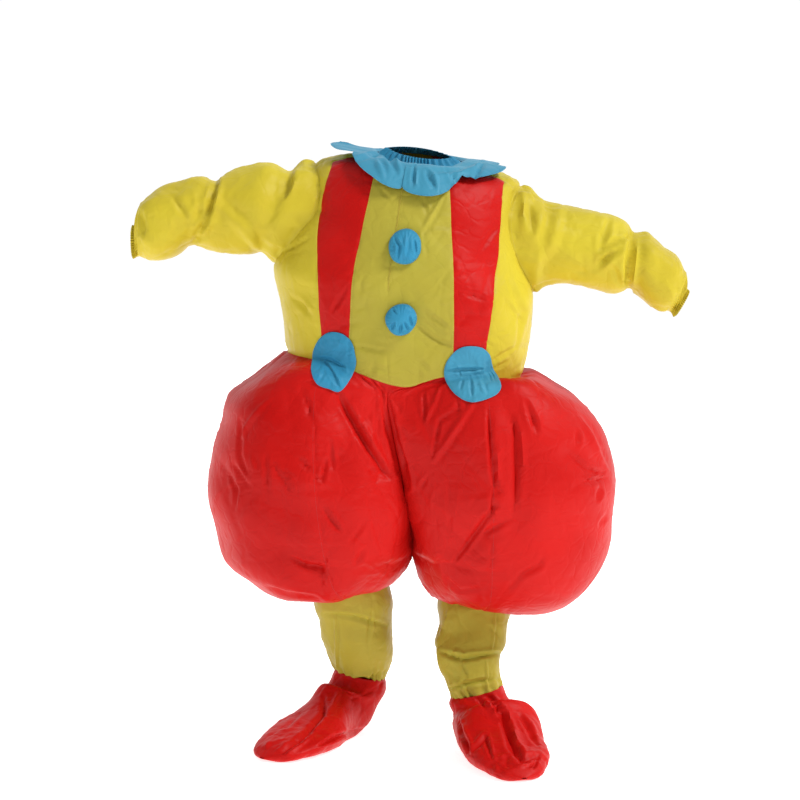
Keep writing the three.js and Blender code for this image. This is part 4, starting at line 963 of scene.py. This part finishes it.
def shell(name, grid, normals, colour, keep=None, loop=False):
    """A closed shell of cloth between a grid and the same grid moved in by its thickness."""
    rows, columns = grid.shape[:2]
    inner = grid - normals * SHELL
    if name.startswith("shoe_cover"):
        inner[..., 2] = np.maximum(inner[..., 2], SHELL)
    points = np.concatenate([grid.reshape(-1, 3), inner.reshape(-1, 3)])
    count = rows * columns
    ids = np.arange(2 * count).reshape(2, rows, columns)
    if loop:
        ids[..., -1] = ids[..., 0]
    ids = ids.ravel()
    across = grid[:-1, 1:] - grid[:-1, :-1]
    down = grid[1:, :-1] - grid[:-1, :-1]
    flip = np.sum(np.cross(across, down) * normals[:-1, :-1]) < 0
    kept = np.ones((rows - 1, columns - 1), bool) if keep is None else keep
    outer = grid_faces(rows, columns, 0, flip)[kept.ravel()]
    under = grid_faces(rows, columns, count, not flip)[kept.ravel()]
    edges = {}
    for face in outer.tolist():
        for a, b in zip(face, face[1:] + face[:1]):
            a, b = int(ids[a]), int(ids[b])
            if (b, a) in edges:
                del edges[(b, a)]
            else:
                edges[(a, b)] = True
    rims = [(b, a, a + count, b + count) for a, b in edges if a != b]
    return add_welded(name, points, outer.tolist() + under.tolist() + rims, ids, colour)


def patch(name, outer, under, colour):
    """A closed piece between two grids that run from its rim in to its middle."""
    rows, columns = outer.shape[:2]
    count = rows * columns
    ids = np.arange(2 * count).reshape(2, rows, columns)
    ids[..., -1] = ids[..., 0]
    ids[:, -1] = ids[:, -1, :1]
    faces = grid_faces(rows, columns, 0, True).tolist() + grid_faces(rows, columns, count, False).tolist()
    faces += [(index, index + 1, index + 1 + count, index + count) for index in range(columns - 1)]
    points = np.concatenate([outer.reshape(-1, 3), under.reshape(-1, 3)])
    return add_welded(name, points, faces, ids.ravel(), colour)


def add_cloth(name, grid, normals, colour, keep=None, loop=False):
    """A shell of cloth in place of the plain piece of its name."""
    piece = shell(f"{name}_cloth", grid, normals, colour, keep, loop)
    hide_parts(name)


def build_bodice():
    columns = np.linspace(0, AROUND, AROUND * TORSO_FINE + 1)
    grid = smooth_rows(torso_points(columns))
    surface = Surface(grid, True, SEEDS["bodice"])
    surface.plain = Surface(grid.copy(), True, SEEDS["bodice"])
    # The back's centre is listed in two parts, and the ring ends where it starts, so neither is a seam
    seams = sorted(set(BODICE_STOPS) - {BODICE_STOPS[9], BODICE_STOPS[-1]})
    surface.fold("bodice")
    surface.crease("bodice")
    surface.pucker_columns(seams, *PUCKERS["bodice_seams"])
    surface.work("bodice", last="waist")
    surface.settle(first=20, last=10)
    SURFACES["bodice"] = surface

    # Points close inside an armhole move out to its rim, and the cloth further in is left away
    hidden = np.zeros(surface.lift.shape, bool)
    for side in (-1, 1):
        offset = surface.grid[..., 2] + TILT * surface.grid[..., 0] - ARMHOLE["height"]
        reach = np.hypot(offset / ARMHOLE["tall"], surface.grid[..., 1] / ARMHOLE["deep"])
        inside = (reach < 1) & (np.sign(surface.grid[..., 0] - NECK[0]) == side)
        turns = np.arctan2(-surface.grid[..., 1] / ARMHOLE["deep"], offset / ARMHOLE["tall"])
        close = inside & (reach > ARMHOLE["moved"])
        surface.grid[close] = armhole_points(side, turns)[close]
        hidden |= inside & (reach <= ARMHOLE["moved"])

    runs = {}
    for (name, _, _, _, colour), start, end in zip(BODICE_PANELS, BODICE_STOPS, BODICE_STOPS[1:]):
        runs[name] = (runs.get(name, (start,))[0], end, colour)
    for name, (start, end, colour) in runs.items():
        part = slice(start, end + 1)
        gone = hidden[:, part]
        keep = ~(gone[:-1, :-1] | gone[1:, :-1] | gone[:-1, 1:] | gone[1:, 1:])
        # The centre panels take the darker copy of the yellow nylon, which is painted shade
        own = "shaded_yellow" if "centre" in name else colour
        add_cloth(name, surface.grid[:, part], surface.normals[:, part], own,
                  keep=keep)


def build_arm(arm):
    side = -1 if arm == "right" else 1
    steps = ARMHOLE["steps"] * ARM_FINE
    turns = np.linspace(0, 2 * math.pi, steps + 1)
    rings = np.concatenate([armhole_points(side, turns)[None], arm_rings(SLEEVES[arm], turns)])
    surface = Surface(smooth_rows(rings), True, SEEDS[f"sleeve_{arm}"])
    surface.crease(f"sleeve_{arm}")
    surface.work("sleeve", first="armhole", last="wrist")
    surface.settle(first=5, last=5)
    SURFACES[f"sleeve_{arm}"] = surface
    add_cloth(f"sleeve_{arm}", surface.grid, surface.normals, "yellow",
              loop=True)

    turns = np.linspace(0, 2 * math.pi, 2 * steps + 1)
    cuffs = np.concatenate([arm_rings(SLEEVES[arm], turns)[-1:], arm_rings(CUFFS[arm], turns)])
    grid = smooth_rows(cuffs, CUFF_GRID)
    cuff = Surface(grid, True, SEEDS[f"cuff_{arm}"])
    angle = np.broadcast_to(turns / (2 * math.pi) * PLEATS["cuff"], cuff.lift.shape)
    down = lengths_along(grid, 0)
    pleat = PLEAT_HEIGHT["cuff"] * wave_round(angle, cuff.seed, PLEATS["cuff"])
    cuff.lift += pleat * (1 - np.exp(-(down / 8) ** 2))
    cuff.settle(first=2)
    SURFACES[f"cuff_{arm}"] = cuff
    add_cloth(f"cuff_{arm}", cuff.grid, cuff.normals, "yellow",
              loop=True)


def wave_round(angle, seed, count):
    """Pleats round a gathered edge, each of its own width and depth, that close on themselves."""
    chance = np.random.default_rng(seed)
    bend = sum(chance.uniform(-1, 1) * np.sin(2 * math.pi * number * angle / count + chance.uniform(0, 6))
               for number in (2, 3, 5, 7)) * 0.35
    height = 1 + 0.35 * np.sin(2 * math.pi * 4 * angle / count + seed)
    return np.sin(2 * math.pi * angle + 2 * bend) * height


def build_leg(leg):
    rings = balloon_points(leg)
    grid = smooth_rows(rings, GRID + 1)
    surface = Surface(grid, False, SEEDS[f"trouser_{leg}"])
    surface.fold("trouser")
    surface.crease("trouser")
    stops = (leg_stops(leg) * LEG_FINE).tolist()
    surface.pucker_columns(stops[1:4], *PUCKERS["trouser_seams"])
    surface.work("trouser", first="waistband", last="hem")
    # The centre seam is where the two legs meet, so it stays in its place
    across = lengths_along(grid, 1)
    edge = np.minimum(across, across[:, -1:] - across)
    surface.lift *= 1 - np.exp(-(edge / 12) ** 2)
    surface.settle(first=6, last=6)
    SURFACES[f"trouser_{leg}"] = surface
    for name, start, end in zip(LEG_PANELS, stops, stops[1:]):
        part = slice(start, end + 1)
        add_cloth(f"trouser_{name}_{leg}", surface.grid[:, part], surface.normals[:, part], "red")

    shank_rings = shank_points(leg, rings[-1])
    grid = smooth_rows(shank_rings)
    shank = Surface(grid, True, SEEDS[f"lower_leg_{leg}"])
    shank.crease("lower_leg")
    shank.work("lower_leg", first="lower_leg")
    angle = np.broadcast_to(np.linspace(0, 1, grid.shape[1]) * PLEATS["ankle"], shank.lift.shape)
    down = lengths_along(grid, 0)
    pleat = PLEAT_HEIGHT["ankle"] * wave_round(angle, shank.seed, PLEATS["ankle"])
    shank.lift += pleat * np.exp(-((down[-1:] - down) / 26) ** 1.3)
    shank.settle(first=6)
    SURFACES[f"lower_leg_{leg}"] = shank
    # The lower leg takes the darker copy of the yellow nylon, which is painted shade
    add_cloth(f"lower_leg_{leg}", shank.grid, shank.normals, "shaded_yellow",
              loop=True)

    # Every second column is enough for the foot, which is far narrower than the balloon
    grid = smooth_rows(shoe_points(leg, shank_rings[-1])[:, ::2])
    grid[..., 2] = np.maximum(grid[..., 2], 0)
    shoe = Surface(grid, True, SEEDS[f"shoe_cover_{leg}"])
    shoe.crease("shoe_cover")
    shoe.work("shoe_cover", first="instep")
    # The sole and the toe's last rows stay plain
    shoe.lift *= np.clip(grid[..., 2] / 12, 0, 1)
    shoe.lift[-8:] = 0
    shoe.settle(first=5)
    shoe.grid[..., 2] = np.maximum(shoe.grid[..., 2], 0)
    SURFACES[f"shoe_cover_{leg}"] = shoe
    add_cloth(f"shoe_cover_{leg}", shoe.grid[:-1], shoe.normals[:-1], "red",
              loop=True)


def build_neck():
    base = SURFACES["bodice"].grid[0]
    spokes = unit((base - NECK) * np.array([1, 1, 0]))
    rows = []
    angle = np.linspace(0, 1, len(base)) * PLEATS["neck"]
    pleat = PLEAT_HEIGHT["neck"] * wave_round(angle, SEEDS["neck"], PLEATS["neck"])
    for share in np.linspace(0, 1, 9):
        radius = np.hypot(base[:, 0] - NECK[0], base[:, 1])
        ring = between(radius, OPENING["half"], share ** 0.8) + pleat * min(1, 3 * share)
        point = np.array([NECK[0], 0, 0]) + spokes * ring[:, None]
        front_rise = OPENING["front_rise"] * np.maximum(0, -spokes[:, 1]) ** 2
        point[:, 2] = base[:, 2] + (OPENING["rise"] + front_rise) * share
        rows.append(point)
    grid = np.array(rows)
    add_cloth("neck_gather", grid, normals_of(grid, True), "blue",
              loop=True)


def build_collar():
    plain = SURFACES["bodice"].plain
    around = AROUND * TORSO_FINE
    half = around // 2
    start = ZIP_COLUMN * TORSO_FINE
    for name, way in (("left", 1), ("right", -1)):
        steps = np.arange(half + 1)
        columns = (start + way * steps) % around
        control, last = steps / TORSO_FINE, AROUND / 2
        first = COLLAR["first_petal"]
        place = np.where(control <= first, control / first,
                         1 + (control - first) / (last - first) * (COLLAR["petals"] / 2 - 1))
        scallop = np.abs(np.sin(place * math.pi)) ** COLLAR["scallop"]
        facing = np.maximum(0, 1 - place / 2) ** COLLAR["facing"]
        notch = between(COLLAR["notch"], COLLAR["front_notch"], facing)
        petal = between(COLLAR["petal"], COLLAR["front_petal"], facing)
        reach = between(notch, petal, scallop)
        nick = np.exp(-((place - np.round(place)) / COLLAR["nick_wide"]) ** 2) * (np.round(place) > 0)
        reach -= COLLAR["nick"] * nick
        lines = plain.grid[:, columns]
        out = plain.normals[:, columns]
        down = lengths_along(lines, 0)
        grid = []
        for share in np.linspace(0, 1, COLLAR["rows"]):
            length = between(COLLAR["rim"], reach, share)
            point, normal = [
                np.array([sample(length[k], down[:, k], values[:, k]) for k in range(len(columns))])
                for values in (lines, out)]
            normal = unit(normal)
            over = np.clip((COLLAR["tip_from"] - point[:, 0]) / COLLAR["tip_reach"], 0, 1)
            lift = (COLLAR["stand"] + COLLAR["lift"] * share ** COLLAR["lift_curve"]
                    + COLLAR["tip_lift"] * over * share ** 2)
            wave = COLLAR["wave"] * (np.abs(np.sin(place * math.pi)) - 0.5) * share
            ruffle = COLLAR["ruffle"] * wander(place * 5.5, SEEDS["collar_edge"]) * share * (1.3 - share)
            grid.append(point + normal * (lift + wave + ruffle)[:, None])
        grid = np.array(grid)
        outward = normals_of_open(grid)
        places = picture_place(grid)
        lift = sum(press(places, points, depth, wide) for depth, wide, *points in CREASES["collar"])
        lift *= np.clip(-outward @ unit(AIM - EYE) * 4 + 1, 0, 1)
        bend = COLLAR["bend"] * wander(place * 3.1, SEEDS[f"collar_{name}"])
        lift += bend * np.linspace(0, 1, COLLAR["rows"])[:, None]
        grid += outward * np.maximum(lift, COLLAR["deepest"])[..., None]
        normals = normals_of_open(grid)
        # The collar takes the lighter copy of the blue nylon, which is painted light
        add_cloth(f"collar_{name}", grid, normals, "lit_blue")
        sew(f"hem_collar_{name}", between(grid[-1], grid[-2], 0.5), normals[-1], "thread_blue")


def normals_of_open(grid):
    normals = unit(np.cross(np.gradient(grid, axis=0), np.gradient(grid, axis=1)))
    return normals if np.sum(normals[..., 2]) > 0 else -normals


def front_tree():
    points, faces = [], []
    for name in ("bodice", "trouser_right", "trouser_left"):
        grid = SURFACES[name].grid
        rows, columns = grid.shape[:2]
        faces.extend(grid_faces(rows, columns, len(points), False).tolist())
        points.extend(grid.reshape(-1, 3).tolist())
    return BVHTree.FromPolygons(points, faces)


def build_patches():
    tree = front_tree()

    def cloth_y(x, z):
        hit = tree.ray_cast(Vector((x, -1000, z)), Vector((0, 1, 0)))[0]
        return hit.y

    for name, (x, z, seed, puff) in {**BUTTONS, **DISCS}.items():
        stuffed = name in BUTTONS
        turns = np.linspace(0, 2 * math.pi, 121)
        shares = np.linspace(1, 0, 31)
        reach = outline_reach(name, x, cloth_y(x, z), z, turns)
        px = x + np.outer(shares, reach * np.cos(turns))
        pz = z + np.outer(shares, reach * np.sin(turns))
        py = np.array([[cloth_y(a, b) for a, b in zip(*row)] for row in zip(px, pz)])
        under = np.stack([px, smooth_over(py, 12) - 0.6, pz], axis=-1)
        rise = np.sqrt(np.clip(1 - shares ** 2, 0, 1))[:, None]
        places = picture_place(under)
        folds = sum(press(places, points, depth, across) for depth, across, *points in CREASES[name])
        edge = np.clip(4 * (1 - shares), 0, 1)[:, None]
        gather = wave_round(turns / (2 * math.pi) * PLEATS["patch"], 17 + seed, PLEATS["patch"])[None, :]
        outer = under.copy()
        if stuffed:
            soft = wander(turns / (2 * math.pi) * 7, seed + 3)[None, :] * rise * (1 - rise)
            plump = puff * rise ** 0.8 + folds * edge + 5 * soft + 2.2 * gather * rise * (1 - rise)
            outer[..., 1] -= 2.5 + np.maximum(plump, 0)
        else:
            ripple = 0.9 * gather * shares[:, None] ** 3 * edge
            outer[..., 1] -= 2.4 + np.maximum(puff * rise + folds * edge + ripple, 0)
        # The left strap disc takes the lighter copy of the blue nylon, which is painted light; the right one
        # keeps the plain blue
        colour = "lit_blue" if name == "strap_disc_left" else "blue"
        piece = patch(f"{name}_cloth", outer, under, colour)
        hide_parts(name)
        sew(f"stitches_{name}", between(outer[1], outer[2], 0.5), np.array([0, -1.0, 0]), "thread_blue")


def outline_reach(name, x, y, z, turns):
    """How far a piece's edge is from its middle in each direction, from its edge in the photograph."""
    middle = np.array([x, y, z])
    u, v = picture_place(middle)
    scale = (y - EYE[1]) / FOCAL_PIXELS
    across = (np.array([point[0] for point in OUTLINES[name]]) - u) * scale
    upward = (v - np.array([point[1] for point in OUTLINES[name]])) * scale
    angles = np.arctan2(upward, across) % (2 * math.pi)
    order = np.argsort(angles)
    reach = np.interp(turns % (2 * math.pi), angles[order], np.hypot(across, upward)[order],
                      period=2 * math.pi)
    around = reach[:-1]
    for _ in range(3):
        around = (np.roll(around, 1) + 2 * around + np.roll(around, -1)) / 4
    return np.append(around, around[0])


def smooth_over(depths, rounds):
    """Lays a sheet over uneven cloth: it bridges the hollows and never goes behind what it lies on."""
    laid = depths.copy()
    for _ in range(rounds):
        mean = (np.roll(laid[:, :-1], 1, axis=1) + np.roll(laid[:, :-1], -1, axis=1)) / 2
        mean = np.concatenate([mean, mean[:, :1]], axis=1)
        laid = np.minimum(depths, (laid + mean) / 2)
    return laid


def sew(name, line, out, colour, pitch=4.2, stitch=2.9, wide=0.9, high=0.35):
    """A row of stitches along a line on the cloth, each a short flat bar of thread."""
    out = np.broadcast_to(out, line.shape)
    run = np.concatenate([[0], np.cumsum(np.linalg.norm(np.diff(line, axis=0), axis=1))])
    places = np.arange(pitch / 2, run[-1], pitch)
    before = sample(places - stitch / 2, run, line)
    after = sample(places + stitch / 2, run, line)
    along = unit(after - before)
    normal = unit(sample(places, run, out))
    side = np.cross(along, normal)
    corners = []
    for middle in (before, after):
        for across, up in ((-1, 0), (1, 0), (0.6, 1), (-0.6, 1)):
            corners.append(middle + side * across * wide / 2 + normal * (up * high - 0.15))
    points = np.stack(corners, axis=1).reshape(-1, 3)
    block = [(0, 1, 2, 3), (7, 6, 5, 4), (0, 4, 5, 1), (1, 5, 6, 2), (2, 6, 7, 3), (3, 7, 4, 0)]
    faces = [tuple(8 * number + corner for corner in face) for number in range(len(places))
             for face in block]
    return add_mesh(name, points, faces, colour, smooth=False)


def sew_columns(surface, name, columns, colour, first=0, side=1):
    """Stitches beside seams that run down a cloth."""
    for number, column in enumerate(columns):
        line = between(surface.grid[first:, column], surface.grid[first:, column + side], 0.6)
        sew(f"{name}_{number + 1}", line, surface.normals[first:, column], colour)


def sew_edge(surface, name, row, share, colour):
    """Stitches beside the first or the last row of a cloth."""
    beside = 1 if row == 0 else row - 1
    sew(name, between(surface.grid[row], surface.grid[beside], share), surface.normals[row], colour)


def build_zip():
    """Teeth down the centre front, from under the collar to the lower button, and a slider at the top."""
    surface = SURFACES["bodice"]
    line = surface.grid[:, ZIP_COLUMN * TORSO_FINE]
    out = surface.normals[:, ZIP_COLUMN * TORSO_FINE]
    run = lengths_along(line[:, None], 0)[:, 0]
    chosen = (run > ZIP["from"]) & (run < ZIP["to"])
    line, out = line[chosen], out[chosen]
    across = unit(np.cross(out, np.gradient(line, axis=0)))
    for way, name in ((1, "left"), (-1, "right")):
        row = line + across * way * ZIP["half"] + out * ZIP["above"]
        sew(f"zip_teeth_{name}", row, out, "thread_yellow", **ZIP_TOOTH)
        edge = line + across * way * ZIP["stitch_at"] + out * 0.2
        sew(f"zip_stitches_{name}", edge, out, "thread_yellow")
    middle, normal = line[1], out[1]
    along = unit(line[2] - line[0])
    side = np.cross(along, normal)
    for name, low, length, wide, thick in ZIP_SLIDER:
        base = middle + along * low + normal * ZIP["above"]
        corners = [base + along * length * a + side * wide * b + normal * thick * c
                   for a in (0, 1) for b in (-0.5, 0.5) for c in (0, 1)]
        faces = [(0, 1, 3, 2), (4, 6, 7, 5), (0, 4, 5, 1), (2, 3, 7, 6), (0, 2, 6, 4), (1, 5, 7, 3)]
        add_mesh(name, np.array(corners), faces, "plastic", smooth=False)


def build_seams():
    """Rows of stitches beside the seams."""
    bodice = SURFACES["bodice"]
    for name, index, side in BODICE_ROWS:
        sew_columns(bodice, f"stitches_{name}", [BODICE_STOPS[index]], "thread_yellow", first=3, side=side)
    sew_edge(bodice, "stitches_waist", -1, 0.5, "thread_yellow")
    for leg in ("right", "left"):
        trouser = SURFACES[f"trouser_{leg}"]
        stops = (leg_stops(leg) * LEG_FINE).tolist()
        sew_columns(trouser, f"stitches_trouser_{leg}", stops[1:4], "thread_red")
        sew_edge(trouser, f"stitches_waistband_{leg}", 0, 0.6, "thread_red")
        sew_edge(trouser, f"stitches_hem_{leg}", -1, 0.5, "thread_red")
        for name, colour in (("sleeve", "thread_yellow"), ("shoe_cover", "thread_red")):
            sew_edge(SURFACES[f"{name}_{leg}"], f"stitches_{name}_{leg}", 0, 0.8, colour)
        for name in ("sleeve", "lower_leg", "cuff"):
            sew_edge(SURFACES[f"{name}_{leg}"], f"stitches_{name}_end_{leg}", -1, 0.9, "thread_yellow")


def build_blower():
    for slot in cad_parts["blower"].material_slots:
        slot.material = MATERIALS["plastic"]


def build_studio():
    """A bright white wall behind the costume, a dimmer room in front of it, and two broad soft lights."""
    world = bpy.data.worlds.new("studio")
    bpy.context.scene.world = world
    world.use_nodes = True
    nodes, links = world.node_tree.nodes, world.node_tree.links
    background = nodes["Background"]
    background.inputs["Color"].default_value = (1, 1, 1, 1)
    place = add_node(nodes, "TexCoord")
    parts = add_node(nodes, "SeparateXYZ")
    spread = add_node(nodes, "MapRange", From_Min=-0.5, From_Max=0.7, To_Min=ROOM_LIGHT, To_Max=WALL_LIGHT)
    links.new(place.outputs["Generated"], parts.inputs["Vector"])
    links.new(parts.outputs["Y"], spread.inputs["Value"])
    links.new(spread.outputs["Result"], background.inputs["Strength"])
    for name, place, strength, softness in LIGHTS:
        lamp = bpy.data.lights.new(name, "SUN")
        lamp.energy = strength
        lamp.angle = math.radians(softness)
        light = bpy.data.objects.new(name, lamp)
        light.rotation_euler = (-Vector(place)).to_track_quat("-Z", "Y").to_euler()
        bpy.context.scene.collection.objects.link(light)


def build_stage():
    mesh = bpy.data.meshes.new("floor")
    floor_z = -NECK[2] * MM - FLOOR["below"]
    size = FLOOR["half"]
    corners = [(x, y, floor_z) for x, y in ((-size, -size), (size, -size), (size, size), (-size, size))]
    mesh.from_pydata(corners, [], [(0, 1, 2, 3)])
    floor = bpy.data.objects.new("floor", mesh)
    bpy.context.scene.collection.objects.link(floor)
    material, _, _, shader = principled("pale_floor", 0.8)
    shader.inputs["Base Color"].default_value = (FLOOR["tone"],) * 3 + (1,)
    shader.inputs["Emission Color"].default_value = (1, 1, 1, 1)
    shader.inputs["Emission Strength"].default_value = FLOOR["glow"]
    mesh.materials.append(material)

    build_studio()

    lens = bpy.data.cameras.new("camera")
    lens.sensor_width = SENSOR
    lens.lens = FOCAL_PIXELS / PICTURE * SENSOR
    camera = bpy.data.objects.new("camera", lens)
    camera.location = (EYE - NECK) * MM
    camera.rotation_euler = Vector((AIM - EYE) * MM).to_track_quat("-Z", "Y").to_euler()
    bpy.context.scene.collection.objects.link(camera)
    bpy.context.scene.camera = camera
    bpy.context.scene.view_settings.view_transform = "Standard"


build_stage()
build_bodice()
for side_name in ("right", "left"):
    build_arm(side_name)
    build_leg(side_name)
build_neck()
build_collar()
build_patches()
build_zip()
build_seams()
build_blower()
